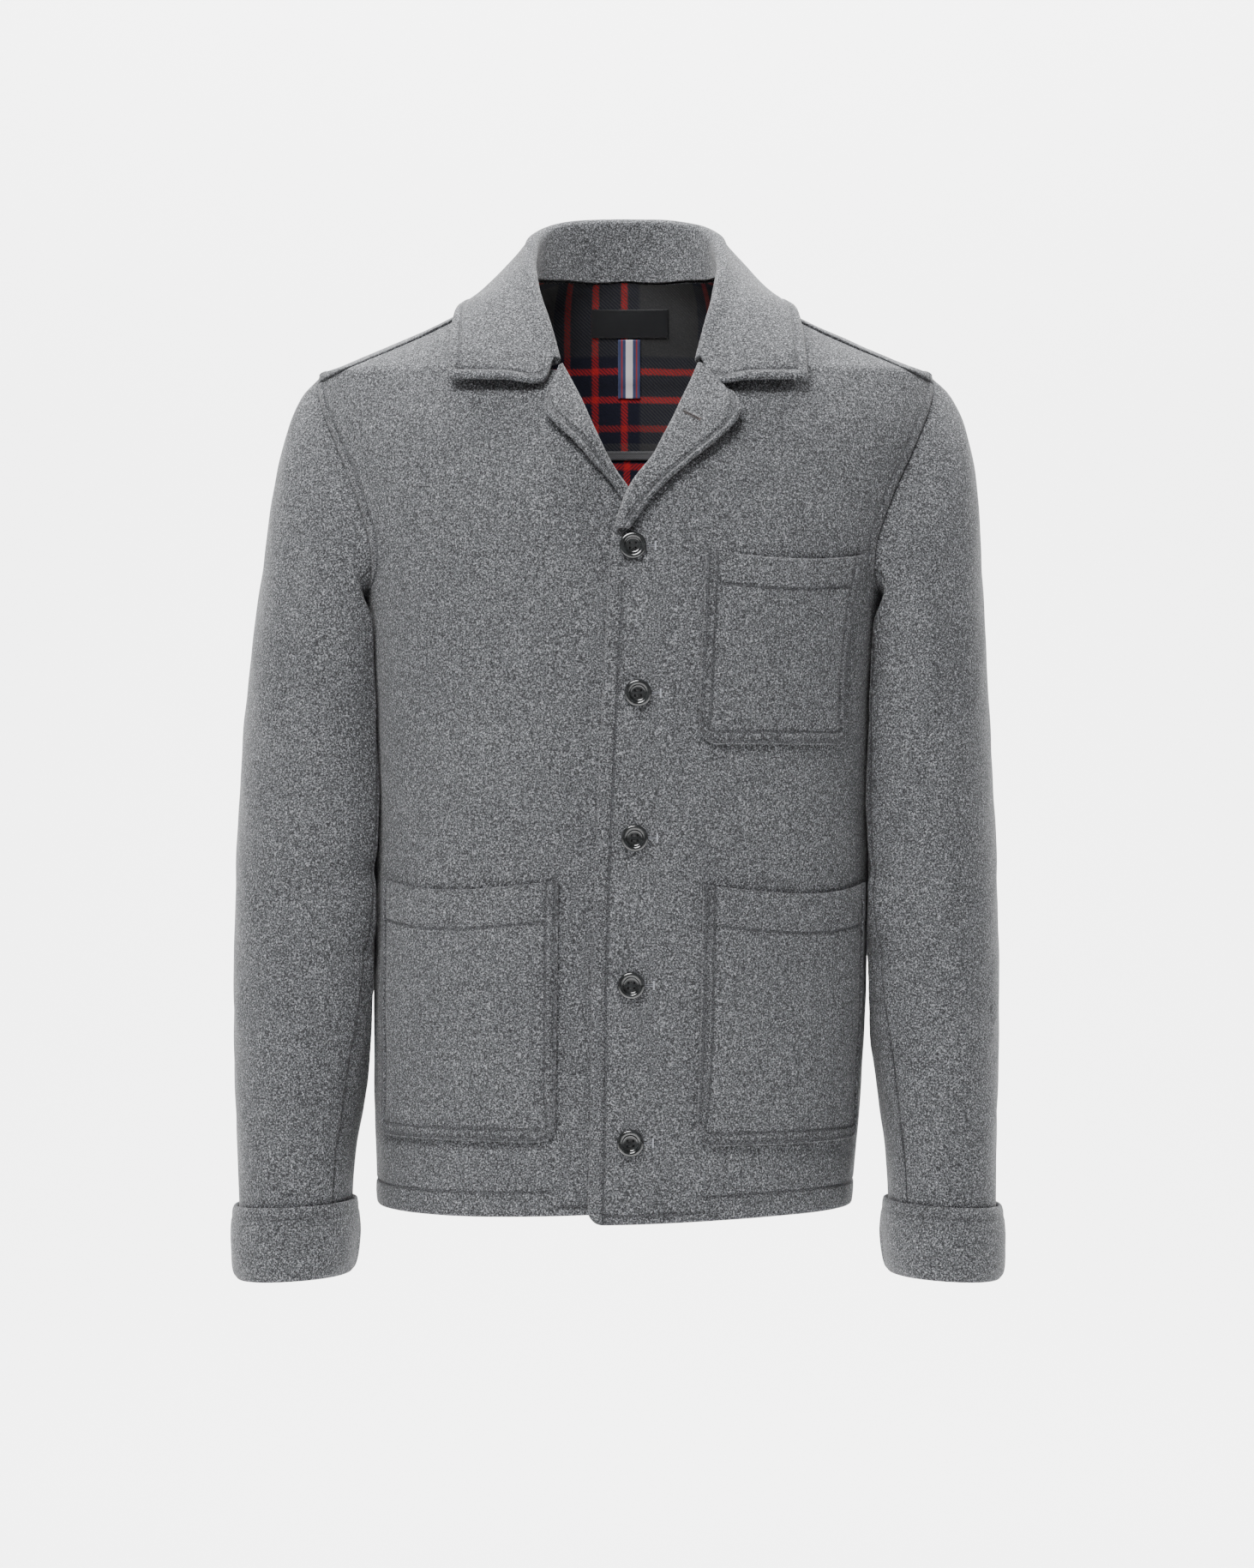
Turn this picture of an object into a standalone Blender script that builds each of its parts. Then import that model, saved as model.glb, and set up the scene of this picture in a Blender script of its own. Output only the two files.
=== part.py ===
"""A hollow wool work jacket, filled out as if it were worn.

Metres, +Z up, the front towards -Y, the wearer's left at +X. The origin is the middle of the
neck, level with the inner ends of the shoulder seams, where the wearer's shoulders carry it.

Every panel is a wall on one body form or one sleeve form. The body form is a stack of
rounded sections, read by an angle round the body (0 front, 90 left side, 180 back) and a
height. A panel is a flat slab whose corners are carried onto the form.
"""

from math import cos, pi, sin

import bmesh
import bpy
import numpy as np
from mathutils import Matrix, Vector
from mathutils.bvhtree import BVHTree

# Driving sizes
WALL = 0.0027  # one layer of heavy double-faced wool
DOUBLE = 0.0040  # two pressed layers, in the collar and lapels
SEAM = 0.00016  # each panel stops this far short of its seam line
LAP = WALL + 0.0009  # how far the under front lies below the upper one
HEM = -0.686
YOKE_SEAM = -0.111
BUTTON_RADIUS = 0.0100
BUTTON_HEIGHT = 0.0042

# Body sections: height, half width, front depth, back depth, squareness, middle x
SECTIONS = (
    (0.046, 0.002, 0.030, 0.050, 2.0, 0.000),
    (0.034, 0.046, 0.032, 0.066, 2.0, 0.000),
    (0.020, 0.070, 0.036, 0.072, 2.0, 0.000),
    (0.006, 0.091, 0.046, 0.078, 2.1, 0.000),
    (-0.012, 0.125, 0.055, 0.084, 2.1, 0.000),
    (-0.038, 0.181, 0.069, 0.094, 2.15, 0.000),
    (-0.053, 0.217, 0.078, 0.099, 2.2, 0.000),
    (-0.060, 0.2320, 0.083, 0.102, 2.2, 0.000),
    (-0.085, 0.2350, 0.097, 0.109, 2.25, 0.000),
    (-0.110, 0.2315, 0.109, 0.115, 2.3, 0.000),
    (-0.150, 0.2205, 0.123, 0.121, 2.3, -0.001),
    (-0.200, 0.2060, 0.133, 0.123, 2.35, -0.002),
    (-0.240, 0.1965, 0.137, 0.120, 2.4, -0.002),
    (-0.300, 0.1905, 0.137, 0.113, 2.4, -0.003),
    (-0.400, 0.1870, 0.133, 0.106, 2.4, -0.003),
    (-0.500, 0.1870, 0.131, 0.108, 2.4, -0.004),
    (-0.600, 0.1845, 0.131, 0.116, 2.4, -0.006),
    (-0.700, 0.1790, 0.131, 0.121, 2.4, -0.009),
)

# Armhole seam: turn round it (0 at the shoulder tip, 90 front, 180 underarm), angle, height
ARMHOLE = (
    (0, 90.0, -0.0600),
    (20, 80.0, -0.0760),
    (45, 71.0, -0.1050),
    (67, 66.5, -0.1330),
    (90, 63.8, -0.1600),
    (112, 62.5, -0.1860),
    (135, 64.5, -0.2090),
    (157, 74.0, -0.2270),
    (180, 90.0, -0.2350),
    (203, 104.0, -0.2280),
    (225, 111.5, -0.2100),
    (248, 114.5, -0.1850),
    (270, 114.5, -0.1580),
    (293, 112.5, -0.1310),
    (315, 109.0, -0.1040),
    (340, 100.5, -0.0760),
)

# Front edge of each front, x towards its own side, and height
LEFT_EDGE = (
    (-0.0278, -0.6920),
    (-0.0260, -0.6100),
    (-0.0253, -0.5215),
    (-0.0235, -0.4590),
    (-0.0204, -0.3780),
    (-0.0166, -0.2970),
    (-0.0122, -0.2120),
    (-0.0098, -0.1865),
)
RIGHT_EDGE = (
    (-0.0300, -0.6835),
    (-0.0300, -0.480),
    (-0.0290, -0.290),
    (-0.0240, -0.225),
    (-0.0195, -0.198),
)
# Neck seam from the middle of the back to the gorge: place, x, over the shoulder
NECK = (
    (0.00, 0.0000, -0.160),
    (0.15, 0.0300, -0.141),
    (0.30, 0.0545, -0.105),
    (0.42, 0.0680, -0.062),
    (0.52, 0.0760, 0.010),
    (0.60, 0.0795, 0.075),
    (0.70, 0.0780, 0.134),
    (0.80, 0.0735, 0.194),
    (0.90, 0.0680, 0.248),
    (1.00, 0.0625, 0.292),
)
# Lapels from the gorge down: roll x, roll height, edge x, edge height, lift off the front
LEFT_LAPEL = (
    (0.0515, -0.0628, 0.0765, -0.0910, 0.0006),
    (0.0462, -0.0738, 0.0820, -0.0958, 0.0012),
    (0.0400, -0.0870, 0.0832, -0.0990, 0.0018),
    (0.0340, -0.0999, 0.0815, -0.1042, 0.0020),
    (0.0262, -0.1155, 0.0670, -0.1195, 0.0015),
    (0.0188, -0.1295, 0.0500, -0.1332, 0.0012),
    (0.0042, -0.1484, 0.0300, -0.1500, 0.0010),
    (-0.0016, -0.1590, 0.0200, -0.1605, 0.0008),
    (-0.0060, -0.1715, 0.0110, -0.1725, 0.0006),
    (-0.0095, -0.1835, 0.0035, -0.1838, 0.0004),
)
RIGHT_LAPEL = (
    (0.0452, -0.0628, 0.0560, -0.0930, 0.0000),
    (0.0385, -0.0730, 0.0590, -0.0968, 0.0008),
    (0.0335, -0.0825, 0.0585, -0.1010, 0.0012),
    (0.0290, -0.0920, 0.0530, -0.1066, 0.0014),
    (0.0205, -0.1113, 0.0378, -0.1201, 0.0012),
    (0.0117, -0.1283, 0.0240, -0.1340, 0.0008),
    (0.0040, -0.1395, 0.0130, -0.1450, 0.0004),
    (-0.0028, -0.1484, 0.0060, -0.1545, 0.0002),
    (-0.0085, -0.1600, -0.0010, -0.1660, 0.0000),
    (-0.0140, -0.1760, -0.0060, -0.1800, 0.0000),
    (-0.0190, -0.1930, -0.0105, -0.1950, 0.0000),
)

# Collar from the middle of the back (0) to the gorge (1), on the wearer's left: place, then
# x y z of the roll, of the leaf near it and of the leaf's middle, then x, over and lift of its edge
COLLAR = (
    (0.00, 0.0000, 0.0790, 0.0690, 0.0000, 0.0880, 0.0540, 0.0000, 0.0925, 0.0350, 0.0000, -0.207, 0.0045),
    (0.12, 0.0240, 0.0755, 0.0680, 0.0265, 0.0845, 0.0532, 0.0290, 0.0890, 0.0348, 0.0310, -0.195, 0.0045),
    (0.24, 0.0445, 0.0655, 0.0650, 0.0500, 0.0735, 0.0510, 0.0560, 0.0775, 0.0330, 0.0610, -0.165, 0.0045),
    (0.36, 0.0625, 0.0470, 0.0580, 0.0705, 0.0530, 0.0460, 0.0800, 0.0560, 0.0280, 0.0890, -0.118, 0.0045),
    (0.48, 0.0720, 0.0170, 0.0455, 0.0820, 0.0200, 0.0345, 0.0955, 0.0230, 0.0200, 0.1120, -0.060, 0.0045),
    (0.60, 0.0735, -0.0130, 0.0270, 0.0850, -0.0120, 0.0175, 0.1015, -0.0105, 0.0070, 0.1225, 0.015, 0.0045),
    (0.70, 0.0700, -0.0330, 0.0120, 0.0825, -0.0335, 0.0045, 0.1005, -0.0320, -0.0015, 0.1265, 0.085, 0.0045),
    (0.80, 0.0650, -0.0500, -0.0070, 0.0775, -0.0530, -0.0125, 0.0985, -0.0535, -0.0175, 0.1280, 0.140, 0.0045),
    (0.90, 0.0585, -0.0655, -0.0290, 0.0710, -0.0710, -0.0365, 0.0955, -0.0720, -0.0395, 0.1295, 0.195, 0.0048),
    (1.00, 0.0515, -0.0805, -0.0555, 0.0625, -0.0940, -0.0725, 0.0900, -0.0915, -0.0715, 0.1310, 0.244, 0.0055),
)

# Sleeve rings from the armhole to the wrist fold:
# outer x, outer height, inner x, inner height, middle y, half depth
LEFT_SLEEVE = (
    (0.2320, -0.0600, 0.1955, -0.2350, -0.005, 0.0630),
    (0.2460, -0.0735, 0.2015, -0.2425, -0.004, 0.0660),
    (0.2590, -0.1005, 0.2040, -0.2505, -0.003, 0.0700),
    (0.2665, -0.1400, 0.2040, -0.2620, -0.001, 0.0740),
    (0.2700, -0.1900, 0.2025, -0.2810, 0.000, 0.0755),
    (0.2735, -0.2600, 0.2000, -0.3200, 0.000, 0.0750),
    (0.2770, -0.3400, 0.1975, -0.3730, -0.002, 0.073),
    (0.2815, -0.4300, 0.1950, -0.4400, -0.007, 0.069),
    (0.2825, -0.5200, 0.1920, -0.5170, -0.014, 0.065),
    (0.2810, -0.6000, 0.1925, -0.5950, -0.022, 0.061),
    (0.2790, -0.6700, 0.1970, -0.6650, -0.030, 0.056),
    (0.2785, -0.7400, 0.2000, -0.7350, -0.036, 0.054),
)
RIGHT_SLEEVE = (
    (0.2325, -0.0600, 0.1965, -0.2350, -0.005, 0.0630),
    (0.2470, -0.0760, 0.2030, -0.2425, -0.004, 0.0660),
    (0.2590, -0.1050, 0.2065, -0.2505, -0.003, 0.0700),
    (0.2675, -0.1450, 0.2070, -0.2620, -0.001, 0.0745),
    (0.2745, -0.1950, 0.2055, -0.2810, 0.000, 0.0760),
    (0.2830, -0.2600, 0.2030, -0.3200, 0.000, 0.0755),
    (0.2905, -0.3400, 0.2000, -0.3730, -0.002, 0.074),
    (0.2955, -0.4300, 0.1985, -0.4400, -0.007, 0.070),
    (0.2965, -0.5200, 0.1975, -0.5170, -0.014, 0.066),
    (0.2950, -0.6000, 0.1985, -0.5950, -0.022, 0.061),
    (0.2915, -0.6700, 0.2050, -0.6650, -0.030, 0.056),
    (0.2890, -0.7400, 0.2085, -0.7350, -0.036, 0.054),
)
SLEEVE_END = 0.972  # share of the sleeve form where the cuff takes over

# Places of the columns and rows of the panels' grids
FRONT_COLUMNS = 9
NECK_COLUMNS = 5
SIDE_ROWS = 11
UNDER = 0.6  # share of a front's rows that lies below the armhole
BELOW_LAPEL = 0.585  # the row just under the lapel's lower end
BACK_UNDER = 0.66
ARMHOLE_ROWS = (0, 0.09, 0.17, 0.27, 0.38, 0.50, 0.62, 0.72, 0.82, 0.91, 1)
GORGE_ROW = 6
BACK_ARMHOLE_ROWS = (0, 0.09, 0.20, 0.34, 0.51, 0.68, 0.84, 1)
YOKE_ROWS = 6
SLEEVE_ROWS = (0, 0.03, 0.07, 0.12, 0.18, 0.25, 0.32, 0.39, 0.46, 0.53, 0.60, 0.67, 0.74, 0.82, 0.90)
COLLAR_COLUMNS = (0, 0.12, 0.24, 0.36, 0.48, 0.60, 0.70, 0.80, 0.90, 1)
COLLAR_ROWS = (0, 0.08, 0.16, 0.30, 0.34, 0.38, 0.42, 0.46, 0.58, 0.68, 0.78, 0.89, 1)
LAPEL_COLUMNS = (0.01, 0.09, 0.18, 0.27, 0.36, 0.48, 0.64, 0.82, 1)

# Soft folds pressed into the body: angle and height of both ends, half width, depth
BODY_FOLDS = (
    (104, -0.300, 150, -0.390, 0.026, -0.0040),
    (-106, -0.320, -148, -0.360, 0.028, -0.0040),
    (130, -0.200, 134, -0.420, 0.028, 0.0030),
    (-132, -0.210, -138, -0.400, 0.030, 0.0030),
    (158, -0.540, 160, -0.690, 0.036, 0.0035),
    (-152, -0.560, -156, -0.690, 0.034, 0.0030),
)
# Soft folds pressed into a sleeve: turn and share of the length of both ends, half width, depth
SLEEVE_FOLDS = (
    (150, 0.50, 60, 0.56, 0.016, -0.0030),
    (165, 0.60, 90, 0.63, 0.014, -0.0028),
    (120, 0.66, 40, 0.68, 0.016, -0.0022),
    (200, 0.30, 262, 0.38, 0.018, -0.0030),
    (230, 0.72, 300, 0.76, 0.018, -0.0024),
    (60, 0.14, 70, 0.34, 0.020, -0.0026),
)


def smooth_curve(rows):
    """A curve through rows whose first column is the place; it never overshoots between rows."""
    rows = np.array(rows, float)
    knots = rows[:, 0]
    values = rows[:, 1:]
    gap = np.diff(knots)[:, None]
    slope = np.diff(values, axis=0) / gap
    before = slope[:-1]
    after = slope[1:]
    same_way = before * after > 0
    total = np.where(same_way, before + after, 1.0)
    inner = np.where(same_way, 2 * before * after / total, 0.0)
    tangent = np.vstack([slope[:1], inner, slope[-1:]])

    def at(place):
        place = np.clip(np.asarray(place, float), knots[0], knots[-1])
        row = np.clip(np.searchsorted(knots, place, side="right") - 1, 0, len(knots) - 2)
        width = gap[row]
        t = ((place - knots[row]) / width[..., 0])[..., None]
        return (
            values[row] * (1 + 2 * t) * (1 - t) ** 2
            + values[row + 1] * t * t * (3 - 2 * t)
            + tangent[row] * width * t * (1 - t) ** 2
            - tangent[row + 1] * width * t * t * (1 - t)
        )

    return at


def eased(x, low, high):
    """0 below low, 1 above high, with a soft step between."""
    t = np.clip((x - low) / (high - low), 0, 1)
    return t * t * (3 - 2 * t)


def evenly(points):
    """A curve of 0 to 1 through points, spaced by their distances."""
    points = np.array(points, float)
    far = np.linalg.norm(np.diff(points, axis=0), axis=1)
    places = np.concatenate([[0], np.cumsum(far)]) / far.sum()
    return smooth_curve(np.column_stack([places, points]))


section_at = smooth_curve(sorted(SECTIONS))
armhole_at = smooth_curve(
    [(t - 360, a, h) for t, a, h in ARMHOLE[-3:]]
    + list(ARMHOLE)
    + [(t + 360, a, h) for t, a, h in ARMHOLE[:3]]
)


def fold_depth(a, b, folds, metres_a):
    """How far the soft folds move the cloth at places (a, b). A fold is a line between two ends."""
    moved = np.zeros_like(a)
    for a0, b0, a1, b1, half_width, depth in folds:
        along = np.array([(a1 - a0) * metres_a, b1 - b0])
        da = (a - a0) * metres_a
        db = b - b0
        share = np.clip((da * along[0] + db * along[1]) / (along @ along), 0, 1)
        far = np.hypot(da - share * along[0], db - share * along[1])
        moved += depth * np.exp(-((far / half_width) ** 2))
    return moved


def body_skin(angle, height):
    """Points on the outside of the body form, before folds."""
    half, front, back, square, middle = section_at(height).T
    turn = np.radians(angle)
    power = 2 / square
    sine = np.sin(turn)
    cosine = np.cos(turn)
    x = middle + half * np.sign(sine) * np.abs(sine) ** power
    deep = np.where(cosine > 0, front, back)
    y = -np.sign(cosine) * deep * np.abs(cosine) ** power
    return np.column_stack([x, y, height])


def outward(skin, a, b, step_a, step_b):
    """Unit normals of a skin, by small steps along both its directions."""
    along = skin(a + step_a, b) - skin(a - step_a, b)
    upward = skin(a, b + step_b) - skin(a, b - step_b)
    normal = np.cross(along, upward)
    return normal / np.linalg.norm(normal, axis=1)[:, None]


def body(angle, height, out=0.0):
    """Points on the body form, out metres outside it."""
    angle = np.asarray(angle, float)
    height = np.asarray(height, float)
    signed = (angle + 180) % 360 - 180
    folds = fold_depth(signed, height, BODY_FOLDS, 0.19 * pi / 180)
    folds = folds * (1 - eased(np.abs(signed), 165, 180)) * eased(-height, 0.15, 0.23)
    normal = outward(body_skin, angle, height, 1.0, 0.001)
    return body_skin(angle, height) + normal * (out + folds)[:, None]


def angle_of(x, height):
    """The angle, from -90 to 90, at which the body form's front has this x."""
    half, _, _, square, middle = section_at(height).T
    share = np.clip((x - middle) / half, -1, 1)
    return np.degrees(np.arcsin(np.sign(share) * np.abs(share) ** (square / 2)))


def own_angle(side, x, height):
    """The angle of a front's own x, both counted towards the side that the front is on."""
    return side * angle_of(side * np.asarray(x, float), height)


def front(x, height, out=0.0):
    """A point on the front of the body form, by its x."""
    x = np.asarray(x, float)
    height = np.asarray(height, float)
    return body(angle_of(x, height), height, out)


RIDGE = np.linspace(SECTIONS[0][0], SECTIONS[8][0], 300)
RIDGE_X = section_at(RIDGE)[:, 0]


def ridge_height(x):
    """Height of the shoulder's top line at this distance from the middle."""
    return np.interp(np.abs(x), RIDGE_X, RIDGE)


def over_shoulder(x, over):
    """Angle and height at x: over is the square root of the drop below the ridge, minus behind."""
    height = ridge_height(x) - over * over
    angle = np.abs(angle_of(np.abs(x), height))
    angle = np.where(over < 0, 180 - angle, angle)
    return np.where(x < 0, -angle, angle), height


def drop_over(x, height, behind):
    """The over value of a height, the reverse of over_shoulder."""
    drop = np.sqrt(np.maximum(ridge_height(x) - height, 0))
    return np.where(behind, -drop, drop)


def patch(left, right, bottom, top):
    """Fills four edge curves, each of 0 to 1, into a function of across and up."""
    ends = [np.array([0.0]), np.array([1.0])]
    corner = {(i, j): (bottom, top)[j](ends[i])[0] for i in (0, 1) for j in (0, 1)}

    def at(u, v):
        U = u[:, None]
        V = v[:, None]
        sides = (1 - U) * left(v) + U * right(v) + (1 - V) * bottom(u) + V * top(u)
        flat = (1 - U) * ((1 - V) * corner[0, 0] + V * corner[0, 1])
        flat += U * ((1 - V) * corner[1, 0] + V * corner[1, 1])
        return sides - flat

    return at


def cloth(name, colour, roughness=0.95):
    material = bpy.data.materials.new(name)
    material.use_nodes = True
    shader = material.node_tree.nodes["Principled BSDF"]
    shader.inputs["Base Color"].default_value = (*colour, 1)
    shader.inputs["Roughness"].default_value = roughness
    shader.inputs["Metallic"].default_value = 0.0
    return material


def finished(name, shape, material):
    """An object from a closed shape, its faces turned outwards."""
    bmesh.ops.recalc_face_normals(shape, faces=shape.faces[:])
    if shape.calc_volume(signed=True) < 0:
        bmesh.ops.reverse_faces(shape, faces=shape.faces[:])
    mesh = bpy.data.meshes.new(name)
    shape.to_mesh(mesh)
    shape.free()
    mesh.materials.append(material)
    mesh.shade_smooth()
    mesh.set_sharp_from_angle(angle=pi / 4)
    thing = bpy.data.objects.new(name, mesh)
    bpy.context.scene.collection.objects.link(thing)
    return thing


def slab(name, across, up, place, material):
    """A wall with corners at the places across and up, each a rising list from 0 to 1.
    place(u, v, depth) carries the corners; depth is 0 on the outside and 1 on the inside."""
    shape = bmesh.new()
    wide = len(across) - 1
    high = len(up) - 1
    bmesh.ops.create_grid(shape, x_segments=wide, y_segments=high, size=0.5)
    bmesh.ops.translate(shape, verts=shape.verts, vec=(0.5, 0.5, 0))
    inner = bmesh.ops.extrude_face_region(shape, geom=shape.faces[:])["geom"]
    inner = [item for item in inner if isinstance(item, bmesh.types.BMVert)]
    bmesh.ops.translate(shape, verts=inner, vec=(0, 0, 1))
    u, v, depth = np.array([corner.co for corner in shape.verts]).T
    u = np.interp(u * wide, range(wide + 1), across)
    v = np.interp(v * high, range(high + 1), up)
    for corner, point in zip(shape.verts, place(u, v, depth)):
        corner.co = point
    return finished(name, shape, material)


def even(count):
    """Even places from 0 to 1."""
    return np.linspace(0, 1, count + 1)


def turned(name, outline, steps, material, place=None):
    """An outline of (radius, height) spun about Z. place, if given, carries its corners."""
    shape = bmesh.new()
    corners = [shape.verts.new((radius, 0, height)) for radius, height in outline]
    loop = corners + ([] if outline[0][0] < 1e-6 else corners[:1])
    edges = [shape.edges.new(pair) for pair in zip(loop, loop[1:])]
    bmesh.ops.spin(
        shape, geom=corners + edges, cent=(0, 0, 0), axis=(0, 0, 1),
        angle=2 * pi, steps=steps, use_merge=True, use_duplicate=False,
    )
    bmesh.ops.remove_doubles(shape, verts=shape.verts[:], dist=1e-6)
    if place:
        places = np.array([corner.co for corner in shape.verts])
        turn = np.degrees(np.arctan2(places[:, 1], places[:, 0]))
        radius = np.hypot(places[:, 0], places[:, 1])
        for corner, point in zip(shape.verts, place(turn, radius, places[:, 2])):
            corner.co = point
    return finished(name, shape, material)


TIP_TURN = 13.0  # where the shoulder seam meets the armhole
TIP_SKIN = body_skin(*armhole_at(np.array([TIP_TURN])).T)[0]
TIP_X = TIP_SKIN[0]
TIP_OVER = drop_over(TIP_X, TIP_SKIN[2], False)
NECK_X = 0.0795
neck_at = smooth_curve(NECK)
collar_at = smooth_curve(COLLAR)


def seam_over(x):
    """The shoulder seam lies a little in front of the shoulder's top line."""
    return 0.075 + (TIP_OVER - 0.075) * eased(x, NECK_X, TIP_X)


def seam_point(share):
    """The shoulder seam from the neck (0) to the armhole (1), as angle and height."""
    x = NECK_X + share * (TIP_X - NECK_X)
    return np.column_stack(over_shoulder(x, seam_over(x)))


def nearest_turn(column, wanted, low, high):
    """The turn of the armhole, between low and high, where its angle or height is the wanted one."""
    turns = np.linspace(low, high, 2000)
    return turns[np.argmin(np.abs(armhole_at(turns)[:, column] - wanted))]


YOKE_TURN = nearest_turn(1, YOKE_SEAM, 270, 330)
front_turns = 180 + (TIP_TURN - 180) * np.array(ARMHOLE_ROWS)
back_turns = 180 + (YOKE_TURN - 180) * np.array(BACK_ARMHOLE_ROWS)
yoke_turns = YOKE_TURN + (360 + TIP_TURN - YOKE_TURN) * even(YOKE_ROWS)
ARM_TURNS = np.concatenate([front_turns[::-1], back_turns[1:], yoke_turns[1:]])
FRONT_SEAM = front_turns[3]
BACK_SEAM = back_turns[3]


def into_panel(turn):
    """The way along the body from the armhole seam into the panel beside it."""

    def seam(turn):
        return body_skin(*armhole_at(turn % 360).T)

    angle, height = armhole_at(turn % 360).T
    normal = outward(body_skin, angle, height, 1.0, 0.001)
    way = np.cross(seam(turn + 1) - seam(turn - 1), normal)
    way /= np.linalg.norm(way, axis=1)[:, None]
    middle = np.array([0.215, -0.005, -0.150])
    facing = np.sum(way * (seam(turn) - middle), axis=1)
    return way * np.sign(facing)[:, None]


def sleeve_form(side, rings):
    """The sleeve's form: turn round it and share of its length, out metres outside it."""
    rows = np.array(rings, float)
    middles = (rows[:, [0, 1]] + rows[:, [2, 3]]) / 2
    far = np.linalg.norm(np.diff(middles, axis=0), axis=1) + 0.012
    places = np.concatenate([[0], np.cumsum(far)]) / far.sum()
    ring_at = smooth_curve(np.column_stack([places, rows]))
    blunt = 2 / 2.15

    def ring(turn, share):
        outer_x, outer_z, inner_x, inner_z, middle_y, half_depth = ring_at(share).T
        cosine = np.cos(np.radians(turn))
        sine = np.sin(np.radians(turn))
        cosine = np.sign(cosine) * np.abs(cosine) ** blunt
        sine = np.sign(sine) * np.abs(sine) ** blunt
        x = (outer_x + inner_x) / 2 + (outer_x - inner_x) / 2 * cosine
        z = (outer_z + inner_z) / 2 + (outer_z - inner_z) / 2 * cosine
        return np.column_stack([x, middle_y - half_depth * sine, z])

    def skin(turn, share):
        angle, height = armhole_at(turn % 360).T
        hole = body_skin(side * angle, height) * (side, 1, 1)
        start = ring(turn, np.zeros_like(share))
        away = ring(turn, np.full_like(share, 0.05)) - start
        away = away / np.linalg.norm(away, axis=1)[:, None] - into_panel(turn)
        away /= np.linalg.norm(away, axis=1)[:, None]
        held = (1 - eased(share, 0.0, 0.26))[:, None]
        point = ring(turn, share) + (hole - start) * held + away * 2.5 * SEAM
        half, front_deep, back_deep, square, middle = section_at(point[:, 2]).T
        deep = np.where(point[:, 1] < 0, front_deep, back_deep)
        level = np.clip(1 - np.abs(point[:, 1] / deep) ** square, 0, 1) ** (1 / square)
        least = side * middle + half * level + 0.0050
        under_arm = (turn % 360 > 90) & (turn % 360 < 270) & (share > 0.015)
        point[:, 0] = np.where(under_arm, np.maximum(point[:, 0], least), point[:, 0])
        return point

    def at(turn, share, out=0.0):
        normal = outward(skin, turn, share, 1.0, 0.002)
        folds = fold_depth(turn % 360, share, SLEEVE_FOLDS, 0.068 * pi / 180 / 0.7)
        moved = out + folds * eased(share, 0.08, 0.2)
        points = skin(turn, share) + normal * moved[:, None]
        return points * (side, 1, 1)

    return at, skin


def seam_way(turn):
    """The way the cloth's thickness leans at the armhole seam, shared by the body and sleeve."""
    angle, height = armhole_at(turn % 360).T
    of_body = outward(body_skin, angle, height, 1.0, 0.001)
    of_sleeve = outward(left_skin, turn, np.full_like(turn, 0.012), 1.5, 0.010)
    way = of_body + of_sleeve
    way /= np.linalg.norm(way, axis=1)[:, None]
    lean = np.sum(way * of_body, axis=1)
    return way / np.maximum(lean, 0.8)[:, None]


left_form, left_skin = sleeve_form(1, LEFT_SLEEVE)
right_form, right_skin = sleeve_form(-1, RIGHT_SLEEVE)


def panel(angle, height, depth, turn, out=0.0):
    """A wall on the body form. turn is the place on the armhole seam and nan elsewhere."""
    outer = body(angle, height, out)
    inner = body(angle, height, out - WALL)
    on_seam = ~np.isnan(turn)
    lean = seam_way(np.where(on_seam, turn, 0.0))
    lean[:, 0] *= np.sign(outer[:, 0])
    inner = np.where(on_seam[:, None], outer - lean * WALL, inner)
    return outer + (inner - outer) * depth[:, None]


def shrunk(t, metres):
    """0 to 1 drawn in a little at both ends, to leave the seam gap on a length in metres."""
    gap = SEAM / metres
    return gap + (1 - 2 * gap) * t


def roll_edge(lapel, inset):
    """Edge of the front under the lapel's fold, from its lower end up: the roll line moved
    inset towards the lapel's edge."""
    rows = np.array(lapel, float)[::-1]
    towards = rows[:, 2:4] - rows[:, 0:2]
    towards /= np.linalg.norm(towards, axis=1)[:, None]
    return rows[:, 0:2] + towards * inset


FOLD = 0.0030  # radius of the middle of the cloth round the lapel's fold
INSET = FOLD + DOUBLE / 2 + 0.0008


def side_turn(share, low_turn, under):
    """The armhole turn of a panel's side edge, nan below the armhole."""
    turn = 180 + (low_turn - 180) * (share - under) / (1 - under)
    return np.where(share < under - 1e-6, np.nan, turn)


def side_edge(share, top_turn, under):
    """The side seam, then the armhole seam, as angle and height."""
    height = HEM + (armhole_at(180.0)[1] - HEM) * np.clip(share / under, 0, 1)
    turn = side_turn(share, top_turn, under)
    low = np.isnan(turn)
    angle, arm_height = armhole_at(np.where(low, 180.0, turn)).T
    return np.where(low, 90.0, angle), np.where(low, height, arm_height)


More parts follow.
